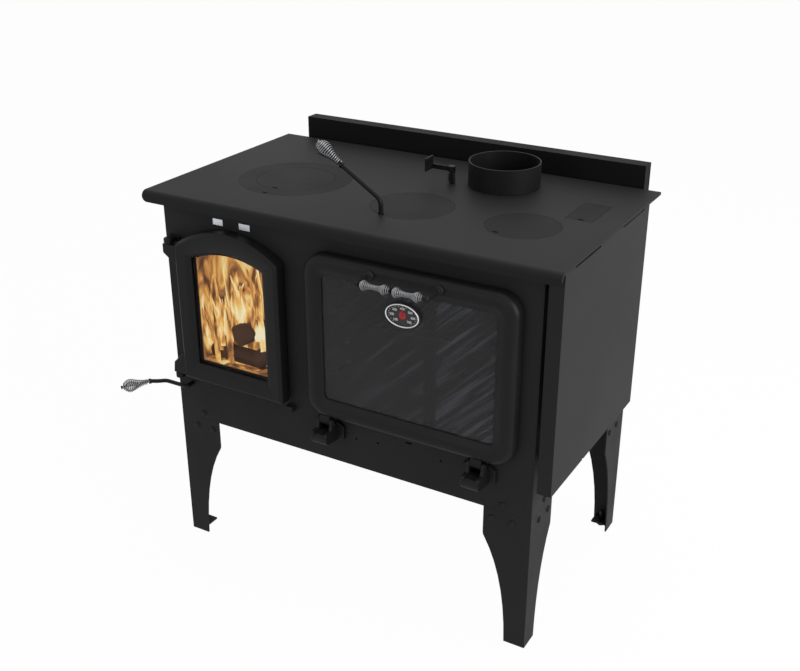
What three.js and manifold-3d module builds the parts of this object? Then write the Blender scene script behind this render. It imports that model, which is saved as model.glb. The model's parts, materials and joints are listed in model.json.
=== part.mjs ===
// Wood cookstove: firebox on the left, oven on the right, cooking top above, four sheet legs.
// Millimetres. x runs right from the middle of the front panel, y runs back from its face,
// z runs up from the floor. The finished group is moved so that its origin is the middle of
// the floor area that it covers.
import * as THREE from 'three';
import { mergeVertices } from 'three/addons/utils/BufferGeometryUtils.js';
import Module from 'manifold-3d';

const wasm = await Module();
wasm.setup();

// ---------- Driving dimensions ----------

const clearance = 0.3;
const sheet = 3;

const bodyWidth = 860;
const bodyDepth = 516.5;
const bodyBottom = 311.5;
const floorPanelHeight = 366;

const topHeight = 834.2;
const topThickness = 6;
const topWidth = 936.8;
const topFront = -21;
const topRear = 507.4;
const lipRadius = 13;
const lipDrop = 23.2;
const lipCorner = 12;

const lidFlange = 3;
const lidLedge = 7;
const lidGap = 0.5;
const lidDepth = 10;
const bigLid = { x: -239, y: 209, ring: 120, inner: 84 };
const centreLid = { x: 67.6, y: 173, radius: 84.5 };
const rightLid = { x: 308, y: 173.5, radius: 73.5 };
const cleanout = { x: 387, y: 309.5, width: 57, depth: 108 };
const slotLength = 13;
const slotWidth = 5;
const slotInset = 5.1;

const collarX = 165.7;
const collarY = 391.8;
const collarRadius = 76.2;
const collarWall = 3;
const collarHeight = 52;
const collarSpigot = 12;

const legFlange = 102;
const legFoot = 46;
const legWide = 59;
const footPlate = 40;
const footPlateHeight = 12;
const boltRadius = 4;
const boltHole = 4.6;
const boltHead = 7;
const boltDome = 3.5;
const panelBolt = { along: 62, up: 14 };
const legBolts = [{ along: 84.5, up: -22 }, { along: 40.5, up: -22 }];
const bracketArm = 98;
const bracketRise = 38;
const bracketDrop = 40;
const levelBolt = 4;

const shieldOut = 38.4;
const shieldSheet = 2;
const shieldFront = -5.5;
const shieldRear = 435.5;
const shieldBottom = 378.3;
const shieldLip = 29;
const shieldSlot = 121;
const shieldSlotDrop = 3;

const backLeft = -419;
const backRight = 427;
const backGap = 5.3;
const backDepth = 33.4;
const backRise = 45.3;
const backBottom = 378;
const backApronDrop = 54.2;
const standoff = 6;

const fireCentre = -256.3;
const fireWidth = 259.5;
const doorDrop = 56.2;
const fireBottom = 425.7;
const fireCrownDrop = 0.5;
const fireRise = 45;
const fireBorder = { side: 39.35, bottom: 41.3, spring: 21.5, crown: 44.9 };
const fireFront = 33;
const ovenCentre = 164.5;
const ovenWidth = 461;
const ovenBottom = 424;
const ovenBorder = 42;
const ovenCorner = 45;
const ovenInnerCorner = 10;
const ovenFront = 30;
const gasketThickness = 2.6;
const glassRecess = 9;
const glassThickness = 4;
const glassLap = 10;
const retainerThickness = 3;
const lipThickness = 3;

const firePin = { x: -408, y: -20, radius: 4 };
const fireLug = 10.5;
const fireLugThickness = 16;
const upperLugDrop = 3.5;
const upperLugHeight = 34;
const lowerLug = { top: 480, bottom: 430 };
const hingeBoss = 12.5;

const ovenPin = { y: -17, z: 411, radius: 4 };
const ovenHinges = [-25, 319];
const earGap = 24;
const earThickness = 7;
const earRadius = 10;
const hingeReach = 50;
const hingeShelf = 397.5;
const hingeFoot = 370;
const hingeFlare = 35;

const handleCentre = 163.5;
const handleSpan = 148;
const handleDrop = 18;
const handleReach = 76;
const handlePost = 5;
const handleCore = 2.5;
const handleCollar = 6;
const handleBoss = 11;
const middleCollar = 2;

const gaugeX = 160;
const gaugeDrop = 85.5;
const gaugeWidth = 72.6;
const gaugeHeight = 47;
const gaugeDepth = 10;
const gaugeBezel = 3.5;
const gaugeDish = 3;
const needleLength = 15;

const leverPivot = { x: -392, z: 397 };
const leverRod = 4.5;
const gripCore = 2.6;
const airGripLength = 60;
const airShutter = { width: 62, height: 26 };

const lifterX = 38.7;
const lifterY = 99;
const lifterRod = 4.75;
const lifterGripLength = 65;

const damperX = 64.5;
const damperY = 346.6;
const damperShaft = 4;
const damperBarRise = 25.8;
const damperBarHeight = 10;
const damperReach = 47.9;
const damperEnd = 31;
const damperEndRise = 28;
const flapWidth = 110;
const flapHeight = 62;

const ovenLip = 35.7;
const linerDepth = 352;
const linerRib = 5;
const ribCount = 5;
const ribFoot = 45;
const ribHead = 57.6;
const rackHeight = 4;
const rackDepth = 270;
const rackRod = 3;
const flueLeft = 64.5;
const flueRight = 300;
const flueFront = 285;

const fireboxLeft = -405;
const fireboxRight = -95;
const fireboxDepth = 420;
const fireboxTopDrop = 84.2;
const fireboxFloor = 420;
const fireboxPlate = 4;
const brick = 30;
const brickTopDrop = 50;
const baffleThickness = 6;
const baffleFront = 110;

// ---------- Derived places ----------

const half = bodyWidth / 2;
const underTop = topHeight - topThickness;
const ovenTop = topHeight - doorDrop;
const fireCrown = ovenTop - fireCrownDrop;
const fireSpring = fireCrown - fireRise;
const upperLug = { top: fireSpring - upperLugDrop, bottom: fireSpring - upperLugDrop - upperLugHeight };
const handleHeight = ovenTop - handleDrop;
const gaugeZ = ovenTop - gaugeDrop;
const damperBarBottom = topHeight + damperBarRise;
const damperBarTop = damperBarBottom + damperBarHeight;
const liner = {
  left: ovenCentre - ovenWidth / 2 + ovenLip,
  right: ovenCentre + ovenWidth / 2 - ovenLip,
  bottom: ovenBottom + ovenLip,
  top: ovenTop - ovenLip,
  depth: linerDepth,
};
const ribPitch = (liner.top - liner.bottom - ribFoot - ribHead) / (ribCount - 1);
const fireboxTop = topHeight - fireboxTopDrop;
const brickTop = fireboxTop - brickTopDrop;
const backApron = topHeight - backApronDrop;
const doorBack = -(gasketThickness + 2 * clearance);
const fireMouthInset = 30;
const gasketInset = 9;
const gasketWidth = 11;

// ---------- Finishes ----------

function finish(colour, roughness, metalness, opacity = 1) {
  return new THREE.MeshStandardMaterial({
    color: colour, roughness, metalness, opacity, transparent: opacity < 1, flatShading: true,
  });
}
const blackPaint = () => finish(0x26262a, 0.6, 0.3);
const castIron = () => finish(0x1d1d1f, 0.7, 0.4);
const darkSteel = () => finish(0x2f3033, 0.5, 0.7);
const chrome = () => finish(0xc9ccd0, 0.2, 1);
const zinc = () => finish(0xb9bcc0, 0.4, 0.9);
const ropeSeal = () => finish(0x3b3a38, 0.95, 0);
const ceramicGlass = () => finish(0x2a2622, 0.08, 0, 0.5);
const fireclay = () => finish(0xb9a184, 0.95, 0);
const redPaint = () => finish(0xc02a20, 0.5, 0);

// ---------- Solids ----------

// Shared planes of joined blocks stay exactly shared on a fine binary grid.
const gridSteps = 1024;
function onGrid(value) {
  return Math.round(value * gridSteps) / gridSteps;
}

function toSolid(geometry) {
  const bare = geometry.clone();
  bare.deleteAttribute('normal');
  bare.deleteAttribute('uv');
  const merged = mergeVertices(bare, 1e-4);
  const vertProperties = new Float32Array(merged.attributes.position.array).map(onGrid);
  const triVerts = new Uint32Array(merged.index.array);
  return new wasm.Manifold(new wasm.Mesh({ numProp: 3, vertProperties, triVerts }));
}

function toGeometry(solid) {
  const mesh = solid.getMesh();
  const geometry = new THREE.BufferGeometry();
  geometry.setAttribute('position', new THREE.BufferAttribute(new Float32Array(mesh.vertProperties), 3));
  geometry.setIndex(new THREE.BufferAttribute(new Uint32Array(mesh.triVerts), 1));
  geometry.computeVertexNormals();
  return geometry;
}

function join(solids) {
  return solids.reduce((sum, next) => sum.add(next));
}

function cut(solid, tools) {
  return tools.reduce((rest, tool) => rest.subtract(tool), solid);
}

function block(x0, x1, y0, y1, z0, z1) {
  const geometry = new THREE.BoxGeometry(x1 - x0, y1 - y0, z1 - z0);
  geometry.translate((x0 + x1) / 2, (y0 + y1) / 2, (z0 + z1) / 2);
  return toSolid(geometry);
}

function rod(radius, from, to, sides = 12, endRadius = radius) {
  const start = new THREE.Vector3(...from);
  const end = new THREE.Vector3(...to);
  const along = end.clone().sub(start);
  const geometry = new THREE.CylinderGeometry(endRadius, radius, along.length(), sides);
  const turn = new THREE.Quaternion().setFromUnitVectors(new THREE.Vector3(0, 1, 0), along.normalize());
  geometry.applyQuaternion(turn);
  geometry.translate(...start.add(end).multiplyScalar(0.5).toArray());
  return toSolid(geometry);
}

// A shape drawn in x and z, extruded from yBack to yFront.
function facingFront(shape, yFront, yBack, curveSegments = 6) {
  const geometry = new THREE.ExtrudeGeometry(shape, {
    depth: yBack - yFront, bevelEnabled: false, curveSegments,
  });
  const x = new THREE.Vector3(1, 0, 0);
  const z = new THREE.Vector3(0, 0, 1);
  geometry.applyMatrix4(new THREE.Matrix4().makeBasis(x, z, new THREE.Vector3(0, -1, 0)));
  geometry.translate(0, yBack, 0);
  return toSolid(geometry);
}

// A shape drawn in y and z, extruded from x0 to x1.
function facingSide(shape, x0, x1, curveSegments = 6) {
  const geometry = new THREE.ExtrudeGeometry(shape, {
    depth: x1 - x0, bevelEnabled: false, curveSegments,
  });
  const y = new THREE.Vector3(0, 1, 0);
  const z = new THREE.Vector3(0, 0, 1);
  geometry.applyMatrix4(new THREE.Matrix4().makeBasis(y, z, new THREE.Vector3(1, 0, 0)));
  geometry.translate(x0, 0, 0);
  return toSolid(geometry);
}

function shapeOf(points) {
  return new THREE.Shape(points.map(([u, v]) => new THREE.Vector2(u, v)));
}

function ellipse(cx, cz, rx, rz, count) {
  const points = [];
  for (let i = 0; i < count; i += 1) {
    const a = (i / count) * 2 * Math.PI;
    points.push([cx + rx * Math.cos(a), cz + rz * Math.sin(a)]);
  }
  return points;
}

// A closed band: each section row [inset, y] follows the outline at that inset.
function band(outlineAt, section) {
  const rings = section.map(([inset, y]) => outlineAt(inset).map(([x, z]) => [x, y, z]));
  const count = rings[0].length;
  const position = rings.flat(2);
  const index = [];
  for (let i = 0; i < rings.length; i += 1) {
    const next = (i + 1) % rings.length;
    for (let j = 0; j < count; j += 1) {
      const k = (j + 1) % count;
      index.push(i * count + j, i * count + k, next * count + k);
      index.push(i * count + j, next * count + k, next * count + j);
    }
  }
  return closedMesh(position, index);
}

function closedMesh(position, index) {
  let volume = 0;
  const corner = (i) => new THREE.Vector3(...position.slice(3 * i, 3 * i + 3));
  for (let i = 0; i < index.length; i += 3) {
    const [a, b, c] = [corner(index[i]), corner(index[i + 1]), corner(index[i + 2])];
    volume += a.dot(b.cross(c));
  }
  const faces = volume < 0 ? index.slice().reverse() : index;
  const geometry = new THREE.BufferGeometry();
  geometry.setAttribute('position', new THREE.Float32BufferAttribute(position, 3));
  geometry.setIndex(faces);
  return geometry;
}

// A plate whose edge is the outline at one inset.
function pane(outlineAt, inset, yFront, yBack) {
  return facingFront(shapeOf(outlineAt(inset)), yFront, yBack);
}

// The arched outline of the fire door, from its outer edge inwards.
function fireOutline(inset, steps = 8) {
  const share = inset / fireBorder.side;
  const side = fireWidth / 2 - inset;
  const bottom = fireBottom + share * fireBorder.bottom;
  const spring = fireSpring - share * fireBorder.spring;
  const crown = fireCrown - share * fireBorder.crown;
  const rise = crown - spring;
  const radius = (side * side + rise * rise) / (2 * rise);
  const swing = Math.asin(side / radius);
  const points = [[fireCentre - side, bottom], [fireCentre + side, bottom]];
  for (let i = 0; i <= steps; i += 1) {
    const a = swing - (2 * swing * i) / steps;
    points.push([fireCentre + radius * Math.sin(a), crown - radius + radius * Math.cos(a)]);
  }
  return points;
}

// The round-cornered outline of the oven door, from its outer edge inwards.
function ovenOutline(inset, steps = 4) {
  const side = ovenWidth / 2 - inset;
  const bottom = ovenBottom + inset;
  const top = ovenTop - inset;
  const radius = Math.max(2, ovenCorner - (inset * (ovenCorner - ovenInnerCorner)) / ovenBorder);
  const corners = [
    [ovenCentre + side - radius, bottom + radius, -90],
    [ovenCentre + side - radius, top - radius, 0],
    [ovenCentre - side + radius, top - radius, 90],
    [ovenCentre - side + radius, bottom + radius, 180],
  ];
  const points = [];
  for (const [x, z, start] of corners) {
    for (let i = 0; i <= steps; i += 1) {
      const a = THREE.MathUtils.degToRad(start + (90 * i) / steps);
      points.push([x + radius * Math.cos(a), z + radius * Math.sin(a)]);
    }
  }
  return points;
}

// ---------- Wound springs ----------

const curlSteps = 8;
const curlSides = 5;
let leastGap = Infinity;

// A helical wire along +z from 0 to length: straight for one wire diameter at each end.
function coil(length, turns, wire, radiusAt) {
  const foot = wire;
  const path = [[radiusAt(0), 0, 0]];
  const steps = turns * curlSteps;
  for (let i = 0; i <= steps; i += 1) {
    const u = i / steps;
    const a = u * turns * 2 * Math.PI;
    const r = radiusAt(u);
    path.push([r * Math.cos(a), r * Math.sin(a), foot + u * (length - 2 * foot)]);
  }
  const last = path[path.length - 1];
  path.push([last[0], last[1], length]);
  for (let i = 0; i < path.length; i += 1) {
    for (let j = i + curlSteps - 2; j < path.length; j += 1) {
      const apart = Math.hypot(...path[i].map((value, axis) => value - path[j][axis]));
      leastGap = Math.min(leastGap, apart - wire);
    }
  }
  return sweep(path.map((point) => new THREE.Vector3(...point)), wire / 2);
}

function sweep(path, radius) {
  const position = [];
  const index = [];
  const sides = curlSides;
  let normal = new THREE.Vector3(1, 0, 0);
  path.forEach((point, i) => {
    const before = path[Math.max(0, i - 1)];
    const after = path[Math.min(path.length - 1, i + 1)];
    const tangent = after.clone().sub(before).normalize();
    if (i === 0 || i === path.length - 1) {
      tangent.set(0, 0, 1);
    }
    normal = normal.clone().addScaledVector(tangent, -normal.dot(tangent)).normalize();
    const side = tangent.clone().cross(normal);
    for (let j = 0; j < sides; j += 1) {
      const a = (j / sides) * 2 * Math.PI;
      const rim = point.clone().addScaledVector(normal, radius * Math.cos(a));
      rim.addScaledVector(side, radius * Math.sin(a));
      position.push(rim.x, rim.y, rim.z);
    }
  });
  for (let i = 0; i + 1 < path.length; i += 1) {
    for (let j = 0; j < sides; j += 1) {
      const k = (j + 1) % sides;
      index.push(i * sides + j, i * sides + k, (i + 1) * sides + k);
      index.push(i * sides + j, (i + 1) * sides + k, (i + 1) * sides + j);
    }
  }
  const end = (path.length - 1) * sides;
  for (let j = 1; j + 1 < sides; j += 1) {
    index.push(0, j + 1, j);
    index.push(end, end + j, end + j + 1);
  }
  return closedMesh(position, index);
}

function aim(geometry, from, direction) {
  const turn = new THREE.Quaternion().setFromUnitVectors(
    new THREE.Vector3(0, 0, 1), new THREE.Vector3(...direction).normalize(),
  );
  geometry.applyQuaternion(turn);
  geometry.translate(...from);
  return geometry;
}

function bulbGrip(length) {
  const waist = 4.9;
  const swell = 9.5;
  return coil(length, 14, 2.5, (u) => waist + swell * Math.sin(Math.PI * u ** 2.2));
}

// ---------- Assembly helpers ----------

const stove = new THREE.Group();

// Adds a piece to a group whose origin is its pivot.
function add(name, shape, material, parent = stove) {
  const geometry = shape.isBufferGeometry ? shape : toGeometry(shape);
  geometry.translate(-parent.position.x, -parent.position.y, -parent.position.z);
  const mesh = new THREE.Mesh(geometry, material);
  mesh.name = name;
  parent.add(mesh);
}

function pivot(x, y, z, parent = stove) {
  const group = new THREE.Group();
  group.position.set(x, y, z);
  parent.add(group);
  return group;
}

// ---------- Casing ----------

const corners = [
  ['front_left', -half, 0, 0],
  ['front_right', half, 0, 90],
  ['rear_right', half, bodyDepth, 180],
  ['rear_left', -half, bodyDepth, 270],
];

function boltHoles(x, z, y0, y1) {
  return rod(boltHole, [x, y0, z], [x, y1, z], 8);
}

const windows = [[-303, -276], [-237, -208]];
const windowDrop = 52.2;
const windowHeight = 15;
const windowBottom = topHeight - windowDrop;

function frontPanel() {
  let panel = block(-half, half, 0, sheet, bodyBottom, underTop - clearance);
  const tools = [
    pane(fireOutline, fireMouthInset, -1, sheet + 1),
    block(liner.left - clearance, liner.right + clearance, -1, sheet + 1,
      liner.bottom - clearance, liner.top + clearance),
    boltHoles(-half + panelBolt.along, bodyBottom + panelBolt.up, -1, sheet + 1),
    boltHoles(half - panelBolt.along, bodyBottom + panelBolt.up, -1, sheet + 1),
    rod(leverRod + clearance, [leverPivot.x, -1, leverPivot.z], [leverPivot.x, sheet + 1, leverPivot.z], 12),
  ];
  for (const [left, right] of windows) {
    tools.push(block(left, right, -1, sheet + 1, windowBottom, windowBottom + windowHeight));
  }
  for (const [x, z] of [[35, 377], [86.7, 382], [231.6, 383.4]]) {
    tools.push(rod(2.5, [x, -1, z], [x, sheet + 1, z], 8));
  }
  tools.push(block(152, 166, -1, sheet + 1, 401, 405));
  panel = cut(panel, tools);
  const catchBase = block(-131.6, -114, -14, 1, 404, 415);
  return panel.add(catchBase);
}

function sidePanel(side) {
  const outer = side * half;
  const inner = side * (half - sheet);
  const from = Math.min(outer, inner);
  const panel = block(from, from + sheet, sheet + clearance, bodyDepth, bodyBottom, underTop - clearance);
  const z = bodyBottom + panelBolt.up;
  return cut(panel, [panelBolt.along, bodyDepth - panelBolt.along].map((y) => (
    rod(boltHole, [from - 1, y, z], [from + sheet + 1, y, z], 8)
  )));
}

add('front_panel', frontPanel(), blackPaint());
add('left_side_panel', sidePanel(-1), blackPaint());
add('right_side_panel', sidePanel(1), blackPaint());

const inside = half - sheet - clearance;
const rearFace = bodyDepth - sheet;
add('rear_panel', cut(
  block(-inside, inside, rearFace, bodyDepth, bodyBottom, underTop - clearance),
  [-1, 1].map((side) => boltHoles(
    side * (half - panelBolt.along), bodyBottom + panelBolt.up, rearFace - 1, bodyDepth + 1,
  )),
), blackPaint());
add('bottom_panel', block(-inside, inside, sheet + clearance, rearFace - clearance,
  floorPanelHeight, floorPanelHeight + sheet), blackPaint());

// A light strip behind the panel, seen through the two windows over the fire door.
const stripFront = sheet + clearance;
const stripMargin = { along: 17, below: 6, above: 3 };
const tabGap = 1;
add('window_strip', join([
  block(windows[0][0] - stripMargin.along, windows[1][1] + 13, stripFront, stripFront + 1.5,
    windowBottom - stripMargin.below, windowBottom + windowHeight + stripMargin.above),
  ...windows.map(([left, right]) => block(left + tabGap, right - tabGap, 1, stripFront + 1,
    windowBottom + tabGap, windowBottom + windowHeight - tabGap)),
]), zinc());

// ---------- Cooking top ----------

const ledgeTop = topHeight - lidFlange - clearance;

function disc(x, y, radius, z0, z1, sides = 32) {
  return rod(radius, [x, y, z0], [x, y, z1], sides);
}

function lidSeat(x, y, radius) {
  return [
    disc(x, y, radius + lidGap, ledgeTop, topHeight + 1),
    disc(x, y, radius - lidLedge + lidGap, topHeight - lidDepth - 20, topHeight + 1),
  ];
}

function lifterSlot(x, y) {
  return block(x - slotLength / 2, x + slotLength / 2, y - slotWidth / 2, y + slotWidth / 2,
    topHeight - lidDepth - 20, topHeight + 1);
}

function lid(x, y, radius, depth = lidDepth) {
  return disc(x, y, radius, topHeight - lidFlange, topHeight)
    .add(disc(x, y, radius - lidLedge, topHeight - depth, topHeight - lidFlange + 1));
}

function cooktop() {
  const bend = new THREE.Shape();
  const bendStart = topFront + lipRadius;
  const inner = lipRadius - topThickness;
  bend.moveTo(topRear, topHeight);
  bend.lineTo(bendStart, topHeight);
  bend.absarc(bendStart, topHeight - lipRadius, lipRadius, Math.PI / 2, Math.PI, false);
  bend.lineTo(topFront, topHeight - lipDrop);
  bend.lineTo(topFront + topThickness, topHeight - lipDrop);
  bend.absarc(bendStart, topHeight - lipRadius, inner, Math.PI, Math.PI / 2, true);
  bend.lineTo(topRear, underTop);
  const plate = facingSide(bend, -topWidth / 2, topWidth / 2, 6);
  const lipShape = new THREE.Shape();
  const bottom = topHeight - lipDrop;
  lipShape.moveTo(-topWidth / 2 - 1, topHeight + 1);
  lipShape.lineTo(-topWidth / 2 - 1, bottom + lipCorner);
  lipShape.lineTo(-topWidth / 2, bottom + lipCorner);
  lipShape.absarc(-topWidth / 2 + lipCorner, bottom + lipCorner, lipCorner, Math.PI, 1.5 * Math.PI, false);
  lipShape.absarc(topWidth / 2 - lipCorner, bottom + lipCorner, lipCorner, 1.5 * Math.PI, 2 * Math.PI, false);
  lipShape.lineTo(topWidth / 2 + 1, bottom + lipCorner);
  lipShape.lineTo(topWidth / 2 + 1, topHeight + 1);
  const rounded = plate.intersect(facingFront(lipShape, topFront - 1, topRear + 1, 5));
  const cover = cleanoutBox(lidGap, ledgeTop, topHeight + 1);
  const coverHole = cleanoutBox(lidGap - lidLedge, topHeight - 30, topHeight + 1);
  return cut(rounded, [
    ...lidSeat(bigLid.x, bigLid.y, bigLid.ring),
    ...lidSeat(centreLid.x, centreLid.y, centreLid.radius),
    ...lidSeat(rightLid.x, rightLid.y, rightLid.radius),
    cover,
    coverHole,
    disc(collarX, collarY, collarRadius - collarWall - 0.5, topHeight - 30, topHeight + 1),
    disc(damperX, damperY, damperShaft + lidGap, topHeight - 30, topHeight + 1, 12),
  ]);
}

function cleanoutBox(grow, z0, z1) {
  const w = cleanout.width / 2 + grow;
  const d = cleanout.depth / 2 + grow;
  return block(cleanout.x - w, cleanout.x + w, cleanout.y - d, cleanout.y + d, z0, z1);
}

add('cooktop', cooktop(), blackPaint());

const ringGroup = pivot(bigLid.x, bigLid.y, topHeight);
const ringSlotY = bigLid.y - bigLid.ring + slotInset + slotWidth / 2;
const innerLedge = bigLid.inner - lidLedge;
add('lid_ring', cut(lid(bigLid.x, bigLid.y, bigLid.ring), [
  disc(bigLid.x, bigLid.y, bigLid.inner + lidGap, ledgeTop, topHeight + 1),
  disc(bigLid.x, bigLid.y, innerLedge + lidGap, topHeight - 30, topHeight + 1),
  lifterSlot(bigLid.x, ringSlotY),
]), castIron(), ringGroup);
const innerSlotY = bigLid.y - bigLid.inner + slotInset + slotWidth / 2;
add('lid_inner', cut(lid(bigLid.x, bigLid.y, bigLid.inner), [
  lifterSlot(bigLid.x, innerSlotY),
]), castIron(), ringGroup);

const centreGroup = pivot(centreLid.x, centreLid.y, topHeight);
add('lid_centre', cut(lid(centreLid.x, centreLid.y, centreLid.radius), [
  lifterSlot(lifterX, lifterY),
]), castIron(), centreGroup);
add('lid_right', cut(lid(rightLid.x, rightLid.y, rightLid.radius), [
  lifterSlot(rightLid.x - 31.8, rightLid.y - 57.2),
]), castIron(), pivot(rightLid.x, rightLid.y, topHeight));
add('cleanout_cover', cut(
  cleanoutBox(0, topHeight - lidFlange, topHeight).add(
    cleanoutBox(-lidLedge, topHeight - lidDepth, topHeight - lidFlange + 1)),
  [lifterSlot(cleanout.x + 2.6, cleanout.y - cleanout.depth / 2 + slotInset)],
), castIron(), pivot(cleanout.x, cleanout.y, topHeight));

const spigot = collarRadius - collarWall - 1;
add('flue_collar', cut(join([
  disc(collarX, collarY, collarRadius, topHeight + clearance, topHeight + collarHeight),
  disc(collarX, collarY, spigot, topHeight - collarSpigot, topHeight + 2),
]), [
  disc(collarX, collarY, spigot - collarWall, topHeight - 40, topHeight + collarHeight + 1),
  disc(collarX, collarY, collarRadius - collarWall, topHeight + 3, topHeight + collarHeight + 1),
]), castIron());

// ---------- Lid lifter, standing in the slot of the centre lid ----------

const lifterBend = [lifterX, lifterY, topHeight + 28.8];
const ferrule = [lifterX - 90.7, lifterY, topHeight + 86.8];
const gripEnd = [ferrule[0] - 54, lifterY, ferrule[2] + 36.5];
const gripWay = new THREE.Vector3(...gripEnd).sub(new THREE.Vector3(...ferrule)).normalize();
const away = (from, distance) => new THREE.Vector3(...from).addScaledVector(gripWay, distance).toArray();
const tipWidth = 11;
const tipThickness = 3.8;
add('lifter_rod', join([
  block(lifterX - tipWidth / 2, lifterX + tipWidth / 2, lifterY - tipThickness / 2,
    lifterY + tipThickness / 2, topHeight + clearance, topHeight + 3),
  rod(lifterRod, [lifterX, lifterY, topHeight + clearance], lifterBend, 10),
  toSolid(new THREE.SphereGeometry(lifterRod, 10, 6).translate(...lifterBend)),
  rod(lifterRod, lifterBend, ferrule, 10),
  rod(lifterRod + 1.6, away(ferrule, -5), ferrule, 10),
  rod(gripCore, away(ferrule, -1), away(ferrule, lifterGripLength + 1), 8),
  rod(4.4, away(ferrule, lifterGripLength + 2 * clearance), away(ferrule, lifterGripLength + 3), 10),
]), darkSteel(), centreGroup);
add('lifter_grip', aim(bulbGrip(lifterGripLength), away(ferrule, clearance), gripWay.toArray()),
  chrome(), centreGroup);

// ---------- Damper ----------

const damper = pivot(damperX, damperY, topHeight);
const barHalf = 1.5;
const endLeft = damperX - damperReach;
const hub = 8;
add('damper_lever', cut(join([
  rod(damperShaft, [damperX, damperY, underTop - flapHeight - 16], [damperX, damperY, damperBarTop], 12),
  rod(hub, [damperX, damperY, damperBarBottom], [damperX, damperY, damperBarTop + 2], 12),
  block(endLeft, damperX, damperY - barHalf, damperY + barHalf, damperBarBottom, damperBarTop),
  block(endLeft, endLeft + 2 * barHalf, damperY - damperEnd, damperY + barHalf,
    damperBarBottom, damperBarBottom + damperEndRise),
]), [8, 18].map((along) => block(endLeft - 1, endLeft + 4, damperY - damperEnd + along - 2,
  damperY - damperEnd + along + 2, damperBarBottom + 8, damperBarBottom + damperEndRise - 6))),
darkSteel(), damper);
const damperSpring = damperBarBottom - topHeight - 2 * clearance;
add('damper_spring', aim(coil(damperSpring, 4, 3.2, () => 6.9),
  [damperX, damperY, topHeight + clearance], [0, 0, 1]), darkSteel(), damper);
const flapTop = underTop - 12;
add('damper_flap', cut(join([
  rod(damperShaft + 3, [damperX, damperY, flapTop - flapHeight], [damperX, damperY, flapTop], 12),
  block(damperX - flapWidth / 2, damperX + flapWidth / 2, damperY - barHalf, damperY + barHalf,
    flapTop - flapHeight, flapTop),
]), [rod(damperShaft + clearance, [damperX, damperY, flapTop - flapHeight - 5],
  [damperX, damperY, flapTop + 5], 12)]), darkSteel(), damper);

// ---------- Shields ----------

function sideShield() {
  const outer = half + shieldOut;
  const top = underTop - clearance;
  const wall = block(outer - shieldSheet, outer, shieldFront, shieldRear, shieldBottom, top);
  const lip = block(outer - shieldLip, outer, shieldFront, shieldFront + shieldSheet, shieldBottom, top);
  const spacers = [];
  for (const y of [60, shieldRear - 40]) {
    for (const z of [shieldBottom + 45, top - 50]) {
      spacers.push(rod(standoff, [half + clearance, y, z], [outer - 1, y, z], 10));
    }
  }
  const slots = [42.3, 283.3].map((y) => (
    block(outer - shieldSheet - 1, outer + 1, y, y + shieldSlot, top - shieldSlotDrop, top + 1)
  ));
  slots.push(block(outer - shieldSheet - 1, outer + 1, 153, 159, shieldBottom - 1, shieldBottom + 4));
  return cut(join([wall, lip, ...spacers]), slots);
}
add('right_side_shield', sideShield(), blackPaint());

function rearShield() {
  const front = bodyDepth + backGap;
  const rear = front + backDepth;
  const top = topHeight + backRise;
  const fold = shapeOf([
    [rear, backBottom], [rear, top], [front, top], [front, backApron],
    [front + shieldSheet, backApron], [front + shieldSheet, top - shieldSheet],
    [rear - shieldSheet, top - shieldSheet], [rear - shieldSheet, backBottom],
  ]);
  const solids = [facingSide(fold, backLeft, backRight)];
  for (const x of [backLeft + 0.5, backRight - shieldSheet - 0.5]) {
    solids.push(block(x, x + shieldSheet, front + 1, rear - 1, backApron + 1, top - 1));
  }
  for (const x of [backLeft + 40, (backLeft + backRight) / 2, backRight - 40]) {
    const high = backApron + 20;
    const low = backBottom + 40;
    solids.push(rod(standoff, [x, bodyDepth + clearance, high], [x, front + 1, high], 8));
    solids.push(rod(standoff, [x, bodyDepth + clearance, low], [x, rear - 1, low], 8));
  }
  return join(solids);
}
add('rear_heat_shield', rearShield(), blackPaint());

// ---------- Legs, their brackets and levelling bolts ----------

function legProfile() {
  const shape = new THREE.Shape();
  const top = bodyBottom - clearance;
  const shoulder = top - legWide;
  shape.moveTo(0, 0);
  shape.lineTo(legFoot, 0);
  shape.quadraticCurveTo(legFoot + 3, shoulder * 0.63, legFlange - 2, shoulder - 9);
  shape.quadraticCurveTo(legFlange, shoulder - 5, legFlange, shoulder);
  shape.lineTo(legFlange, top);
  shape.lineTo(0, top);
  return shape;
}

function crossing(point, reach) {
  const z = bodyBottom + point.up;
  return [
    [[point.along, -reach, z], [point.along, sheet + reach, z]],
    [[-reach, point.along, z], [sheet + reach, point.along, z]],
  ];
}

function leg() {
  const flanges = facingFront(legProfile(), 0, sheet, 7).add(facingSide(legProfile(), 0, sheet, 7));
  const plate = block(1, footPlate, 1, footPlate, footPlateHeight, footPlateHeight + 4);
  const holes = legBolts.flatMap((bolt) => crossing(bolt, 1).map(([a, b]) => rod(boltHole, a, b, 8)));
  holes.push(rod(levelBolt + clearance, [footPlate / 2 + 2, footPlate / 2 + 2, 0],
    [footPlate / 2 + 2, footPlate / 2 + 2, 40], 10));
  return cut(flanges.add(plate), holes);
}

function legBracket() {
  const inner = sheet + clearance;
  const z0 = bodyBottom - bracketDrop;
  const z1 = bodyBottom + bracketRise;
  const solids = [
    block(inner, bracketArm, inner, inner + sheet, z0, z1),
    block(inner, inner + sheet, inner, bracketArm, z0, z1),
  ];
  for (const point of [panelBolt, ...legBolts]) {
    for (const [outside, into] of crossing(point, 0)) {
      const out = new THREE.Vector3(...outside).sub(new THREE.Vector3(...into)).normalize();
      const at = (distance) => new THREE.Vector3(...outside).addScaledVector(out, distance).toArray();
      solids.push(rod(boltRadius, into.map((value, axis) => value - out.getComponent(axis)),
        at(clearance + 0.5), 8));
      solids.push(rod(boltHead, at(clearance), at(clearance + boltDome), 8, boltHead / 2));
    }
  }
  return join(solids);
}

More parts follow.
